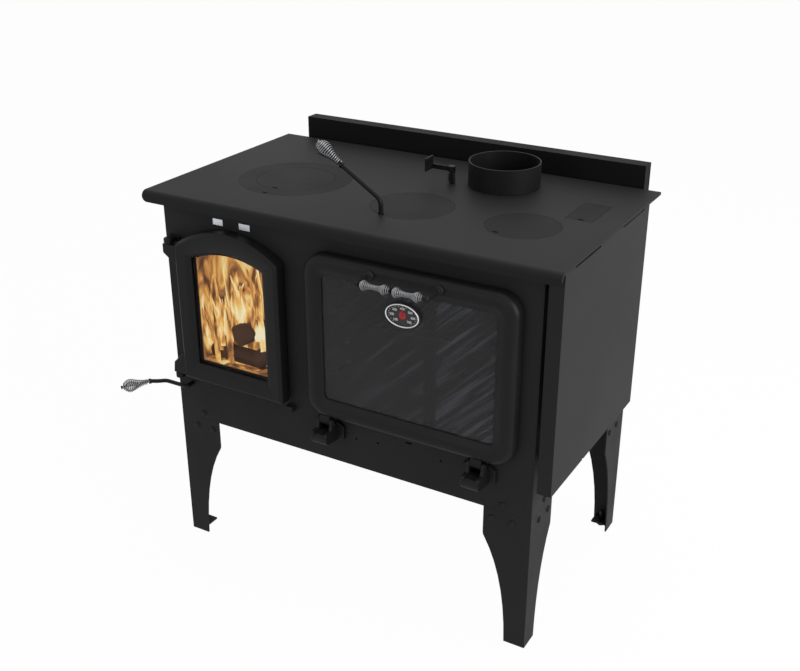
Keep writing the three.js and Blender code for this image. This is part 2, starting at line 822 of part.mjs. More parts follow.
function levellingBolt() {
  const at = footPlate / 2 + 2;
  return join([
    rod(8, [at, at, 1], [at, at, footPlateHeight - 4], 6),
    rod(levelBolt, [at, at, footPlateHeight - 5], [at, at, footPlateHeight + 26], 10),
    rod(7.5, [at, at, footPlateHeight + 4 + clearance], [at, at, footPlateHeight + 11], 6),
  ]);
}

for (const [name, x, y, turn] of corners) {
  const corner = pivot(x, y, 0);
  corner.rotation.z = THREE.MathUtils.degToRad(turn);
  const seat = new THREE.Group();
  corner.add(seat);
  add(`leg_${name}`, leg(), blackPaint(), seat);
  add(`leg_bracket_${name}`, legBracket(), darkSteel(), seat);
  add(`levelling_bolt_${name}`, levellingBolt(), zinc(), seat);
}

// ---------- Doors ----------

function doorSection(front, border, edge, glassFront) {
  const lipBack = glassFront - clearance;
  const rebate = border - glassLap;
  return [
    [0, doorBack],
    ...edge,
    [border, lipBack - lipThickness],
    [border, lipBack],
    [rebate, lipBack],
    [rebate, doorBack],
  ];
}

const fireGlassFront = -(fireFront - glassRecess) + lipThickness;
const ovenGlassFront = -(ovenFront - glassRecess) + clearance;
const fireEdge = [[0, -fireFront + 6], [6, -fireFront], [fireBorder.side - 10, -fireFront + 2]];
const ovenEdge = [[0, -ovenFront + 13], [4, -ovenFront + 4], [13, -ovenFront], [27, -ovenFront]];
const fireSection = doorSection(fireFront, fireBorder.side, fireEdge, fireGlassFront);
const ovenSection = doorSection(ovenFront, ovenBorder, ovenEdge, ovenGlassFront);

function rectangularBand(outlineAt, inset, width, yFront, yBack) {
  return band(outlineAt, [[inset, yBack], [inset, yFront], [inset + width, yFront], [inset + width, yBack]]);
}

function doorInfill(prefix, outlineAt, border, glassFront, group) {
  const edge = border - glassLap + clearance;
  const glassBack = glassFront + glassThickness;
  add(`${prefix}_glass`, pane(outlineAt, edge, glassFront, glassBack), ceramicGlass(), group);
  add(`${prefix}_retainer`, rectangularBand(outlineAt, edge, glassLap + 5,
    glassBack + clearance, glassBack + clearance + retainerThickness), darkSteel(), group);
  add(`${prefix}_gasket`, rectangularBand(outlineAt, gasketInset, gasketWidth,
    doorBack + clearance, -clearance), ropeSeal(), group);
}

// Fire door, hung on two pins at its left.
const fireDoor = pivot(firePin.x, firePin.y, 0);
const fireEdgeX = fireCentre - fireWidth / 2;
const lugTip = firePin.x - fireLug;
const lugBack = firePin.y + fireLugThickness / 2;
const lugFront = firePin.y - fireLugThickness / 2;
const pinHole = (z0, z1) => rod(firePin.radius + clearance, [firePin.x, firePin.y, z0],
  [firePin.x, firePin.y, z1], 12);

function fireFrame() {
  const upper = shapeOf([
    [fireEdgeX + 3, upperLug.bottom - 6], [fireEdgeX + 3, upperLug.top], [lugTip, upperLug.top],
    [lugTip, upperLug.bottom + 14], [lugTip + 20, upperLug.bottom],
  ]);
  const lower = shapeOf([
    [fireEdgeX + 3, lowerLug.bottom], [fireEdgeX + 3, lowerLug.top], [fireEdgeX - 4, lowerLug.top],
    [lugTip + 3, lowerLug.top - 25], [lugTip, lowerLug.bottom],
  ]);
  return cut(join([
    toSolid(band(fireOutline, fireSection)),
    facingFront(upper, lugFront, lugBack),
    facingFront(lower, lugFront, lugBack),
  ]), [pinHole(upperLug.bottom - 20, upperLug.top + 5), pinHole(lowerLug.bottom - 5, lowerLug.top + 5)]);
}
add('fire_door_frame', fireFrame(), castIron(), fireDoor);
doorInfill('fire_door', fireOutline, fireBorder.side, fireGlassFront, fireDoor);

function fireHinge(bossBottom, pinFrom, pinTo) {
  const bossTop = bossBottom + hingeBoss;
  return join([
    rod(fireLug - 1, [firePin.x, firePin.y, bossBottom], [firePin.x, firePin.y, bossTop], 12),
    rod(firePin.radius, [firePin.x, firePin.y, pinFrom], [firePin.x, firePin.y, pinTo], 12),
    block(firePin.x - 7, firePin.x + 9, firePin.y, -clearance, bossBottom + 1, bossTop - 1),
    block(firePin.x - 12, fireEdgeX - 4, -4 - clearance, -clearance, bossBottom, bossTop),
  ]);
}
add('fire_hinge_upper', fireHinge(upperLug.top + clearance, upperLug.bottom + 4, upperLug.top + 2), castIron());
add('fire_hinge_lower', fireHinge(lowerLug.bottom - clearance - hingeBoss, lowerLug.bottom - 2,
  lowerLug.bottom + 22), castIron());

// Oven door, dropping forward on two pins under its lower edge.
const ovenDoor = pivot(ovenCentre, ovenPin.y, ovenPin.z);

function ovenFrame() {
  const knuckleHalf = earGap / 2 - clearance;
  const knuckles = ovenHinges.flatMap((x) => [
    rod(earRadius - 2, [x - knuckleHalf, ovenPin.y, ovenPin.z], [x + knuckleHalf, ovenPin.y, ovenPin.z], 12),
    block(x - knuckleHalf, x + knuckleHalf, ovenPin.y - earRadius + 2, ovenPin.y + earRadius - 2,
      ovenPin.z, ovenBottom + 3),
  ]);
  const holes = ovenHinges.map((x) => rod(ovenPin.radius + clearance,
    [x - earGap, ovenPin.y, ovenPin.z], [x + earGap, ovenPin.y, ovenPin.z], 12));
  return cut(join([toSolid(band(ovenOutline, ovenSection)), ...knuckles]), holes);
}
add('oven_door_frame', ovenFrame(), castIron(), ovenDoor);
doorInfill('oven_door', ovenOutline, ovenBorder, ovenGlassFront, ovenDoor);

function ovenHinge(x) {
  const side = new THREE.Shape();
  side.moveTo(-clearance, hingeFoot - 4);
  side.lineTo(-hingeReach + 8, hingeFoot);
  side.lineTo(-hingeReach, hingeFoot + 9);
  side.lineTo(-hingeReach, hingeShelf - 5);
  side.lineTo(-hingeReach + 5, hingeShelf);
  side.lineTo(ovenPin.y - earRadius - 4, hingeShelf);
  side.lineTo(ovenPin.y - earRadius, ovenPin.z);
  side.absarc(ovenPin.y, ovenPin.z, earRadius, Math.PI, 0, true);
  side.lineTo(-clearance, ovenPin.z - 4);
  const outer = earGap / 2 + earThickness;
  const shelf = new THREE.Shape();
  shelf.moveTo(-clearance, hingeFoot - 4);
  shelf.lineTo(-hingeReach + 8, hingeFoot);
  shelf.lineTo(-hingeReach, hingeFoot + 9);
  shelf.lineTo(-hingeReach, hingeShelf - 9);
  shelf.lineTo(-hingeReach + 5, hingeShelf - 4);
  shelf.lineTo(-clearance, hingeShelf - 4);
  const flare = [];
  for (const way of [-1, 1]) {
    const web = shapeOf([[x + way * (outer - 1), hingeFoot - 4], [x + way * hingeFlare, hingeFoot + 2],
      [x + way * hingeFlare, hingeShelf + 6], [x + way * (outer - 1), ovenPin.z]]);
    flare.push(facingFront(way < 0 ? new THREE.Shape(web.getPoints().reverse()) : web, -9, -clearance));
  }
  return join([
    facingSide(side, x - outer, x - earGap / 2),
    facingSide(side, x + earGap / 2, x + outer),
    facingSide(shelf, x - earGap / 2 - 1, x + earGap / 2 + 1),
    rod(ovenPin.radius, [x - outer - 2, ovenPin.y, ovenPin.z], [x + outer + 2, ovenPin.y, ovenPin.z], 12),
    ...flare,
  ]);
}
add('oven_hinge_left', ovenHinge(ovenHinges[0]), castIron());
add('oven_hinge_right', ovenHinge(ovenHinges[1]), castIron());

// Oven handle: a bar on two posts with two wound grips.
const handleY = -handleReach;
const postLeft = handleCentre - handleSpan / 2;
const postRight = handleCentre + handleSpan / 2;
const collarReach = handlePost + 1.5;
function alongX(radius, x0, x1, sides = 12) {
  return rod(radius, [x0, handleY, handleHeight], [x1, handleY, handleHeight], sides);
}
add('oven_handle_bar', join([
  ...[postLeft, postRight].flatMap((x) => [
    rod(handlePost, [x, -ovenFront - clearance, handleHeight], [x, handleY, handleHeight], 12),
    rod(handleBoss, [x, -ovenFront - clearance, handleHeight], [x, -ovenFront - 7, handleHeight], 12, handlePost + 1),
    toSolid(new THREE.SphereGeometry(handlePost + 0.6, 12, 8).translate(x, handleY, handleHeight)),
  ]),
  alongX(handleCore, postLeft, postRight, 10),
  alongX(handleCollar, postLeft + 1, postLeft + collarReach),
  alongX(handleCollar, handleCentre - middleCollar / 2, handleCentre + middleCollar / 2),
  alongX(handleCollar, postRight - collarReach, postRight - 1),
]), castIron(), ovenDoor);
const gripLength = handleSpan / 2 - collarReach - middleCollar / 2 - 2 * clearance;
const twinBulb = (u) => 4.4 + 5.5 * Math.sin(Math.PI * (2 * u - 1) ** 2) ** 2;
[['oven_grip_left', postLeft + collarReach], ['oven_grip_right', handleCentre + middleCollar / 2]]
  .forEach(([name, start]) => {
    add(name, aim(coil(gripLength, 20, 1.9, twinBulb), [start + clearance, handleY, handleHeight], [1, 0, 0]),
      chrome(), ovenDoor);
  });

// Oval oven gauge on the glass.
const gaugeBack = ovenGlassFront - clearance;
const gaugeFront = gaugeBack - gaugeDepth;
const dishFloor = gaugeFront + gaugeDish;
const gaugeOval = (shrink, y0, y1) => facingFront(
  shapeOf(ellipse(gaugeX, gaugeZ, gaugeWidth / 2 - shrink, gaugeHeight / 2 - shrink, 28)), y0, y1);
add('gauge_body', cut(gaugeOval(0, gaugeFront, gaugeBack), [
  gaugeOval(gaugeBezel, gaugeFront - 1, dishFloor),
]).add(rod(1.2, [gaugeX, dishFloor + 1, gaugeZ], [gaugeX, gaugeFront + 0.5, gaugeZ], 8)), chrome(), ovenDoor);
const needle = pivot(gaugeX - ovenCentre, 0, gaugeZ - ovenPin.z, ovenDoor);
const needleShape = cut(join([
  rod(3, [0, dishFloor - clearance, 0], [0, dishFloor - 1.5, 0], 10),
  block(-0.8, 0.8, dishFloor - 1.3, dishFloor - clearance - 0.2, -1, needleLength),
]), [rod(1.2 + clearance, [0, dishFloor + 1, 0], [0, gaugeFront - 1, 0], 8)]);
const needleGeometry = toGeometry(needleShape);
needleGeometry.translate(0, -ovenPin.y, 0);
const needleMesh = new THREE.Mesh(needleGeometry, redPaint());
needleMesh.name = 'gauge_needle';
needle.add(needleMesh);

// ---------- Air lever ----------

const lever = pivot(leverPivot.x, 0, leverPivot.z);
const z = leverPivot.z;
const skirtFront = 12;
const leverPath = [
  [leverPivot.x, skirtFront - clearance, z], [leverPivot.x, -22, z], [-450, -22, z], [-463, -34, z], [-478, -42, z],
];
const leverWay = new THREE.Vector3(-0.53, -0.848, 0);
const ahead = (distance) => new THREE.Vector3(-478, -42, z).addScaledVector(leverWay, distance).toArray();
const leverParts = [];
for (let i = 0; i + 1 < leverPath.length; i += 1) {
  leverParts.push(rod(leverRod, leverPath[i], leverPath[i + 1], 8));
  leverParts.push(toSolid(new THREE.SphereGeometry(leverRod, 8, 4).translate(...leverPath[i + 1])));
}
leverParts.push(rod(leverRod + 1.5, ahead(-1), ahead(4), 10));
leverParts.push(rod(gripCore, ahead(0), ahead(airGripLength + 5), 8));
leverParts.push(rod(4.4, ahead(airGripLength + 4 + 2 * clearance), ahead(airGripLength + 7), 10));
leverParts.push(block(leverPivot.x, leverPivot.x + airShutter.width, skirtFront - clearance - 3,
  skirtFront - clearance, z - airShutter.height / 2, z + airShutter.height / 2));
add('air_lever', join(leverParts), darkSteel(), lever);
add('air_lever_grip', aim(bulbGrip(airGripLength), ahead(4 + clearance), leverWay.toArray()), chrome(), lever);

// ---------- Firebox ----------

const fireboxFoot = floorPanelHeight + sheet + clearance;
function fireboxShell() {
  const plate = fireboxPlate;
  const front = sheet + clearance;
  const walls = join([
    block(fireboxLeft, fireboxLeft + plate, front, fireboxDepth, fireboxFoot, fireboxTop),
    block(fireboxRight - plate, fireboxRight, front, fireboxDepth, fireboxFoot, fireboxTop),
    block(fireboxLeft, fireboxRight, fireboxDepth - plate, fireboxDepth, fireboxFoot, fireboxTop),
    block(fireboxLeft, fireboxRight, skirtFront, fireboxDepth, fireboxFloor, fireboxFloor + plate),
    block(fireboxLeft, fireboxRight, skirtFront, skirtFront + plate, fireboxFoot, fireboxFloor + 1),
  ]);
  return cut(walls, [
    block(leverPivot.x + 14, leverPivot.x + airShutter.width - 6, 0, skirtFront + plate + 1,
      z - airShutter.height / 2 + 4, z + airShutter.height / 2 - 4),
    block(-300, -200, 200, 300, fireboxFloor - 1, fireboxFloor + plate + 1),
  ]);
}
add('firebox_shell', fireboxShell(), darkSteel());

const liningLeft = fireboxLeft + fireboxPlate + clearance;
const liningRight = fireboxRight - fireboxPlate - clearance;
const liningRear = fireboxDepth - fireboxPlate - clearance;
const liningFloor = fireboxFloor + fireboxPlate + clearance;
const liningFront = skirtFront;
add('brick_floor', block(liningLeft, liningRight, liningFront, liningRear, liningFloor, liningFloor + brick), fireclay());
const brickFoot = liningFloor + brick + clearance;
add('brick_left', block(liningLeft, liningLeft + brick, liningFront, liningRear, brickFoot, brickTop), fireclay());
add('brick_right', block(liningRight - brick, liningRight, liningFront, liningRear, brickFoot, brickTop), fireclay());
add('brick_rear', block(liningLeft + brick + clearance, liningRight - brick - clearance,
  liningRear - brick, liningRear, brickFoot, brickTop), fireclay());
add('baffle', block(liningLeft, liningRight, baffleFront, liningRear,
  brickTop + clearance, brickTop + clearance + baffleThickness), darkSteel());

// ---------- Oven ----------

const ribFirst = liner.bottom + ribFoot;
function ovenLiner() {
  const outer = block(liner.left, liner.right, clearance, liner.depth, liner.bottom, liner.top);
  const box = outer.subtract(block(liner.left + sheet, liner.right - sheet, -1, liner.depth - sheet,
    liner.bottom + sheet, liner.top - sheet));
  const ribs = [];
  for (let i = 0; i < ribCount; i += 1) {
    const height = ribFirst + i * ribPitch;
    ribs.push(block(liner.left + 1, liner.left + sheet + linerRib, 30, liner.depth - 1, height, height + 4));
    ribs.push(block(liner.right - sheet - linerRib, liner.right - 1, 30, liner.depth - 1, height, height + 4));
  }
  return join([box, ...ribs]);
}
add('oven_liner', ovenLiner(), darkSteel());

function rack() {
  const left = liner.left + sheet + clearance + 0.7;
  const right = liner.right - sheet - clearance - 0.7;
  const rear = liner.depth - sheet - 2;
  const front = rear - rackDepth;
  const low = ribFirst + 2 * ribPitch + 4 + clearance;
  const high = low + rackHeight;
  const bars = [
    block(left, right, front, front + 2 * rackRod, low, high),
    block(left, right, rear - 2 * rackRod, rear, low, high),
    block(left, left + 2 * rackRod, front, rear, low, high),
    block(right - 2 * rackRod, right, front, rear, low, high),
  ];
  const count = 11;
  for (let i = 1; i < count; i += 1) {
    const x = left + ((right - left) * i) / count;
    bars.push(block(x - rackRod / 2, x + rackRod / 2, front + 1, rear - 1, low + 0.5, high - 0.5));
  }
  return join(bars);
}
add('oven_rack', rack(), chrome());

// Smoke wall round the flue, with the damper's gate in its left side.
const flueFoot = liner.top + clearance;
const flueTop = underTop - clearance;
const gate = flapWidth / 2 + 2.3;
add('flue_wall', cut(join([
  block(flueLeft - 1.5, flueLeft + 1.5, flueFront, rearFace - clearance, flueFoot, flueTop),
  block(flueLeft - 1.5, flueRight, flueFront, flueFront + sheet, flueFoot, flueTop),
  block(flueRight - sheet, flueRight, flueFront, rearFace - clearance, flueFoot, flueTop),
]), [
  block(flueLeft - 3, flueLeft + 3, damperY - gate, damperY + gate, flueFoot + 7, flueTop - 8),
  rod(damperShaft + 1, [damperX, damperY, flueFoot + 7], [damperX, damperY, flueTop + 1], 12),
]), darkSteel());

// ---------- Place the origin in the middle of the floor area ----------

stove.updateMatrixWorld(true);
const bounds = new THREE.Box3().setFromObject(stove, true);
stove.position.x = -(bounds.min.x + bounds.max.x) / 2;
stove.position.y = -(bounds.min.y + bounds.max.y) / 2;
console.log(`least gap of a wound spring to itself: ${leastGap.toFixed(2)} mm`);

export default stove;
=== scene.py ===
import math
import random

import bmesh
import bpy
from mathutils import Matrix, Vector
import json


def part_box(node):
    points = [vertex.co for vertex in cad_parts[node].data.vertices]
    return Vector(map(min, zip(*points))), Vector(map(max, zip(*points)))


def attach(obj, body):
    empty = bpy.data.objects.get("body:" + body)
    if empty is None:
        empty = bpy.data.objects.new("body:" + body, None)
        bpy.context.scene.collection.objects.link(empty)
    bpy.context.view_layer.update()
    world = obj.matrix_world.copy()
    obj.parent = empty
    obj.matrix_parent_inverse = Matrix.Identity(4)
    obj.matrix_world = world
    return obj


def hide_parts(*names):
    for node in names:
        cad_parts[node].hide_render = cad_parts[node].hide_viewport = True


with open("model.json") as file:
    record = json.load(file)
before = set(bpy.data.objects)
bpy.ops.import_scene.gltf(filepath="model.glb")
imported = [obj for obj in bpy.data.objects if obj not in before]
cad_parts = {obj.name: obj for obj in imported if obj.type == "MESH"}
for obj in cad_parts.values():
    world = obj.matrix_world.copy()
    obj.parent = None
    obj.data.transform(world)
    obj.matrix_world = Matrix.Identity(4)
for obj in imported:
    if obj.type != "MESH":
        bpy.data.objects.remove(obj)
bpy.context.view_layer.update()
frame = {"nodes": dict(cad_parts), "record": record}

# ---------- The stove's own measuring frame ----------
# Millimetres: x from the middle of the front panel, y back from its face, z up from the floor.

left_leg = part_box("leg_front_left")
right_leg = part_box("leg_front_right")
PANEL_X = (left_leg[0][0] + right_leg[1][0]) / 2
PANEL_Y = left_leg[0][1]
MM = 0.001
TO_FRAME = Matrix.Translation((PANEL_X, PANEL_Y, 0)) @ Matrix.Scale(MM, 4)


def place(x, y, z):
    return TO_FRAME @ Vector((x, y, z))


def corners(node):
    """A node's lowest and highest corners in the stove's own millimetres."""
    low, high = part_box(node)
    back = TO_FRAME.inverted()
    return back @ Vector(low), back @ Vector(high)


TOP_HEIGHT = corners("cooktop")[1].z
PLATE = 6
UNDER_TOP = TOP_HEIGHT - PLATE
HALF_BODY = 430
GAP = 0.3

# ---------- Camera, floor and light ----------

CAMERA_PLACE = (1103.1, -1670.1, 1534.9)
CAMERA_TILT = 65
CAMERA_TURN = 30
LENS = 50
SENSOR = 36
WHITE = (1, 1, 1, 1)
WORLD_LIGHT = 0.35
FLOOR_SIZE = 12
FLOOR_COLOUR = (0.8, 0.8, 0.8, 1)
FLOOR_WHITE = 0.97


def make_camera():
    data = bpy.data.cameras.new("view")
    data.lens = LENS
    data.sensor_width = SENSOR
    camera = bpy.data.objects.new("view", data)
    camera.location = place(*CAMERA_PLACE)
    camera.rotation_euler = (math.radians(CAMERA_TILT), 0, math.radians(CAMERA_TURN))
    bpy.context.scene.collection.objects.link(camera)
    bpy.context.scene.camera = camera


def lamp(name, spot, aim, size, watts):
    data = bpy.data.lights.new(name, "AREA")
    data.shape = "RECTANGLE"
    data.size, data.size_y = size
    data.energy = watts
    lamp_object = bpy.data.objects.new(name, data)
    lamp_object.location = spot
    way = Vector(aim) - Vector(spot)
    lamp_object.rotation_euler = way.to_track_quat("-Z", "Y").to_euler()
    bpy.context.scene.collection.objects.link(lamp_object)


def make_world():
    world = bpy.data.worlds.new("studio")
    world.use_nodes = True
    bpy.context.scene.world = world
    nodes, links = world.node_tree.nodes, world.node_tree.links
    nodes.clear()
    out = nodes.new("ShaderNodeOutputWorld")
    seen = nodes.new("ShaderNodeBackground")
    seen.inputs["Color"].default_value = WHITE
    light = nodes.new("ShaderNodeBackground")
    light.inputs["Color"].default_value = WHITE
    light.inputs["Strength"].default_value = WORLD_LIGHT
    mix = nodes.new("ShaderNodeMixShader")
    links.new(shown_mask(nodes, links), mix.inputs[0])
    links.new(light.outputs[0], mix.inputs[1])
    links.new(seen.outputs[0], mix.inputs[2])
    links.new(mix.outputs[0], out.inputs["Surface"])


def shown_mask(nodes, links):
    """1 for rays that see the background: straight, in a mirror or through glass."""
    path = nodes.new("ShaderNodeLightPath")
    first = nodes.new("ShaderNodeMath")
    first.operation = "MAXIMUM"
    second = nodes.new("ShaderNodeMath")
    second.operation = "MAXIMUM"
    links.new(path.outputs["Is Camera Ray"], first.inputs[0])
    links.new(path.outputs["Is Glossy Ray"], first.inputs[1])
    links.new(first.outputs[0], second.inputs[0])
    links.new(path.outputs["Is Transmission Ray"], second.inputs[1])
    return second.outputs[0]


def make_floor():
    bm = bmesh.new()
    bmesh.ops.create_grid(bm, x_segments=2, y_segments=2, size=FLOOR_SIZE)
    mesh = bpy.data.meshes.new("floor")
    bm.to_mesh(mesh)
    bm.free()
    floor = bpy.data.objects.new("floor", mesh)
    bpy.context.scene.collection.objects.link(floor)
    material = bpy.data.materials.new("pale floor")
    material.use_nodes = True
    nodes, links = material.node_tree.nodes, material.node_tree.links
    shader = nodes["Principled BSDF"]
    shader.inputs["Base Color"].default_value = FLOOR_COLOUR
    shader.inputs["Roughness"].default_value = 0.9
    white = nodes.new("ShaderNodeEmission")
    white.inputs["Color"].default_value = WHITE
    mix = nodes.new("ShaderNodeMixShader")
    fade = nodes.new("ShaderNodeMath")
    fade.operation = "MULTIPLY"
    fade.inputs[1].default_value = FLOOR_WHITE
    links.new(shown_mask(nodes, links), fade.inputs[0])
    links.new(fade.outputs[0], mix.inputs[0])
    links.new(shader.outputs[0], mix.inputs[1])
    links.new(white.outputs[0], mix.inputs[2])
    links.new(mix.outputs[0], nodes["Material Output"].inputs["Surface"])
    mesh.materials.append(material)


bpy.context.scene.view_settings.view_transform = "Standard"
make_camera()
make_world()
make_floor()
lamp("right window", (3.4, -0.6, 1.9), (0, 0, 0.5), (2.2, 2.2), 98)
lamp("overhead", (0.3, 0.4, 3.6), (0, 0, 0.6), (3, 3), 60)
lamp("front fill", (-0.8, -3.4, 1.4), (0, 0, 0.5), (2.4, 1.6), 14)

# ---------- Finishes ----------

NOISE_LOW, NOISE_HIGH = 0.35, 0.65
GRAIN_DEPTH = 0.0004
FLAME_LEAN = 14
FLAME_STOPS = [
    (0.3, (0.1, 0.04, 0.018, 1)), (0.4, (0.34, 0.14, 0.045, 1)), (0.49, (0.75, 0.34, 0.08, 1)),
    (0.57, (1, 0.66, 0.2, 1)), (0.66, (1, 0.92, 0.6, 1)),
]
# Painted reflection: faint lighter slanting streaks laid into the oven glass's colour.
REFLECTION_STREAK_TURN = -44
REFLECTION_STREAK_STRETCH = (0.5, 1, 0.026)
REFLECTION_START, REFLECTION_FULL = PANEL_X - 0.05, PANEL_X + 0.3
CLEAR_BAND, CLEAR_HALF = PANEL_X + 0.215, 0.014
GLASS_DARK = (0.036, 0.036, 0.037, 1)
GLASS_REFLECTION_COLOUR = (0.07, 0.073, 0.084, 1)


def new_group(name, inputs, outputs):
    group = bpy.data.node_groups.new(name, "ShaderNodeTree")
    for label, value in inputs:
        kind = "NodeSocketColor" if isinstance(value, tuple) else "NodeSocketFloat"
        socket = group.interface.new_socket(name=label, in_out="INPUT", socket_type=kind)
        socket.default_value = value
    for label, kind in outputs:
        group.interface.new_socket(name=label, in_out="OUTPUT", socket_type=kind)
    return group, group.nodes.new("NodeGroupInput"), group.nodes.new("NodeGroupOutput")


def noise_in(group, entry, detail):
    coords = group.nodes.new("ShaderNodeTexCoord")
    noise = group.nodes.new("ShaderNodeTexNoise")
    noise.inputs["Detail"].default_value = detail
    group.links.new(coords.outputs["Object"], noise.inputs["Vector"])
    group.links.new(entry.outputs["Scale"], noise.inputs["Scale"])
    return noise


def spread(group, value, low, high, entry, leave, label):
    """A noise value, from NOISE_LOW to NOISE_HIGH, brought to between two inputs of the group."""
    span = group.nodes.new("ShaderNodeMapRange")
    span.inputs["From Min"].default_value = NOISE_LOW
    span.inputs["From Max"].default_value = NOISE_HIGH
    group.links.new(value, span.inputs["Value"])
    group.links.new(entry.outputs[low], span.inputs["To Min"])
    group.links.new(entry.outputs[high], span.inputs["To Max"])
    group.links.new(span.outputs["Result"], leave.inputs[label])


def cloudy_group():
    """Slow clouds between two colours and two roughnesses, as sprayed stove paint dries."""
    group, entry, leave = new_group(
        "cloudy coat",
        [("Colour", (0.02, 0.02, 0.02, 1)), ("Second colour", (0.03, 0.03, 0.03, 1)), ("Scale", 9.0),
         ("Least roughness", 0.5), ("Most roughness", 0.6)],
        [("Colour", "NodeSocketColor"), ("Roughness", "NodeSocketFloat")],
    )
    noise = noise_in(group, entry, 4)
    mix = group.nodes.new("ShaderNodeMix")
    mix.data_type = "RGBA"
    group.links.new(noise.outputs["Fac"], mix.inputs[0])
    group.links.new(entry.outputs["Colour"], mix.inputs[6])
    group.links.new(entry.outputs["Second colour"], mix.inputs[7])
    group.links.new(mix.outputs[2], leave.inputs["Colour"])
    spread(group, noise.outputs["Fac"], "Least roughness", "Most roughness", entry, leave, "Roughness")
    return group


def grain_group():
    """A fine raised grain, from paint speckle to sand-cast iron."""
    group, entry, leave = new_group("fine grain", [("Scale", 900.0)], [("Height", "NodeSocketFloat")])
    noise = noise_in(group, entry, 2)
    group.links.new(noise.outputs["Fac"], leave.inputs["Height"])
    return group


def flame_group():
    """Licking upright streaks, from dark embers through orange to white heat."""
    group, entry, leave = new_group(
        "flame streaks", [("Scale", 7.0), ("Heat", 0.5), ("Stretch", 0.35)],
        [("Colour", "NodeSocketColor")],
    )
    nodes, links = group.nodes, group.links
    coords = nodes.new("ShaderNodeTexCoord")
    mapping = nodes.new("ShaderNodeMapping")
    mapping.inputs["Rotation"].default_value = (0, math.radians(FLAME_LEAN), 0)
    scale = nodes.new("ShaderNodeCombineXYZ")
    scale.inputs["X"].default_value = 1
    scale.inputs["Y"].default_value = 1
    links.new(entry.outputs["Stretch"], scale.inputs["Z"])
    links.new(scale.outputs[0], mapping.inputs["Scale"])
    links.new(coords.outputs["Object"], mapping.inputs["Vector"])
    noise = nodes.new("ShaderNodeTexNoise")
    noise.inputs["Detail"].default_value = 3.5
    noise.inputs["Distortion"].default_value = 1.6
    links.new(mapping.outputs[0], noise.inputs["Vector"])
    links.new(entry.outputs["Scale"], noise.inputs["Scale"])
    shift = nodes.new("ShaderNodeMath")
    links.new(noise.outputs["Fac"], shift.inputs[0])
    links.new(entry.outputs["Heat"], shift.inputs[1])
    less = nodes.new("ShaderNodeMath")
    less.operation = "SUBTRACT"
    less.inputs[1].default_value = 0.5
    links.new(shift.outputs[0], less.inputs[0])
    ramp = nodes.new("ShaderNodeValToRGB")
    first, last = ramp.color_ramp.elements
    first.position, first.color = FLAME_STOPS[0]
    last.position, last.color = FLAME_STOPS[-1]
    for position, colour in FLAME_STOPS[1:-1]:
        ramp.color_ramp.elements.new(position).color = colour
    links.new(less.outputs[0], ramp.inputs["Fac"])
    links.new(ramp.outputs["Color"], leave.inputs["Colour"])
    return group


CLOUDY = cloudy_group()
GRAIN = grain_group()
FLAME = flame_group()


def coat(name, colour, second, rough, cloud=9.0, grain=900.0, bump=0.08, metallic=0.0, level=0.35, clear=0.0):
    """A coated or bare metal, stone or cloth: clouds of colour and roughness and a fine raised grain."""
    material = bpy.data.materials.new(name)
    material.use_nodes = True
    nodes, links = material.node_tree.nodes, material.node_tree.links
    shader = nodes["Principled BSDF"]
    shader.inputs["Metallic"].default_value = metallic
    shader.inputs["Specular IOR Level"].default_value = level
    shader.inputs["Coat Weight"].default_value = clear
    cloudy = nodes.new("ShaderNodeGroup")
    cloudy.node_tree = CLOUDY
    cloudy.inputs["Colour"].default_value = (*colour, 1)
    cloudy.inputs["Second colour"].default_value = (*second, 1)
    cloudy.inputs["Scale"].default_value = cloud
    cloudy.inputs["Least roughness"].default_value = rough[0]
    cloudy.inputs["Most roughness"].default_value = rough[1]
    links.new(cloudy.outputs["Colour"], shader.inputs["Base Color"])
    links.new(cloudy.outputs["Roughness"], shader.inputs["Roughness"])
    grained = nodes.new("ShaderNodeGroup")
    grained.node_tree = GRAIN
    grained.inputs["Scale"].default_value = grain
    raised = nodes.new("ShaderNodeBump")
    raised.inputs["Strength"].default_value = bump
    raised.inputs["Distance"].default_value = GRAIN_DEPTH
    links.new(grained.outputs["Height"], raised.inputs["Height"])
    links.new(raised.outputs["Normal"], shader.inputs["Normal"])
    return material


def fire_material(name, scale, heat, stretch, strength):
    material = coat(name, (0.02, 0.01, 0.008), (0.05, 0.02, 0.01), (0.8, 0.9))
    nodes, links = material.node_tree.nodes, material.node_tree.links
    shader = nodes["Principled BSDF"]
    flame = nodes.new("ShaderNodeGroup")
    flame.node_tree = FLAME
    flame.inputs["Scale"].default_value = scale
    flame.inputs["Heat"].default_value = heat
    flame.inputs["Stretch"].default_value = stretch
    links.new(flame.outputs["Colour"], shader.inputs["Emission Color"])
    shader.inputs["Emission Strength"].default_value = strength
    return material


def glass_material(name, tint, rough, alpha):
    material = coat(name, tint, tint, rough, bump=0.0, level=0.5)
    shader = material.node_tree.nodes["Principled BSDF"]
    shader.inputs["Alpha"].default_value = alpha
    material.surface_render_method = "BLENDED"
    return material


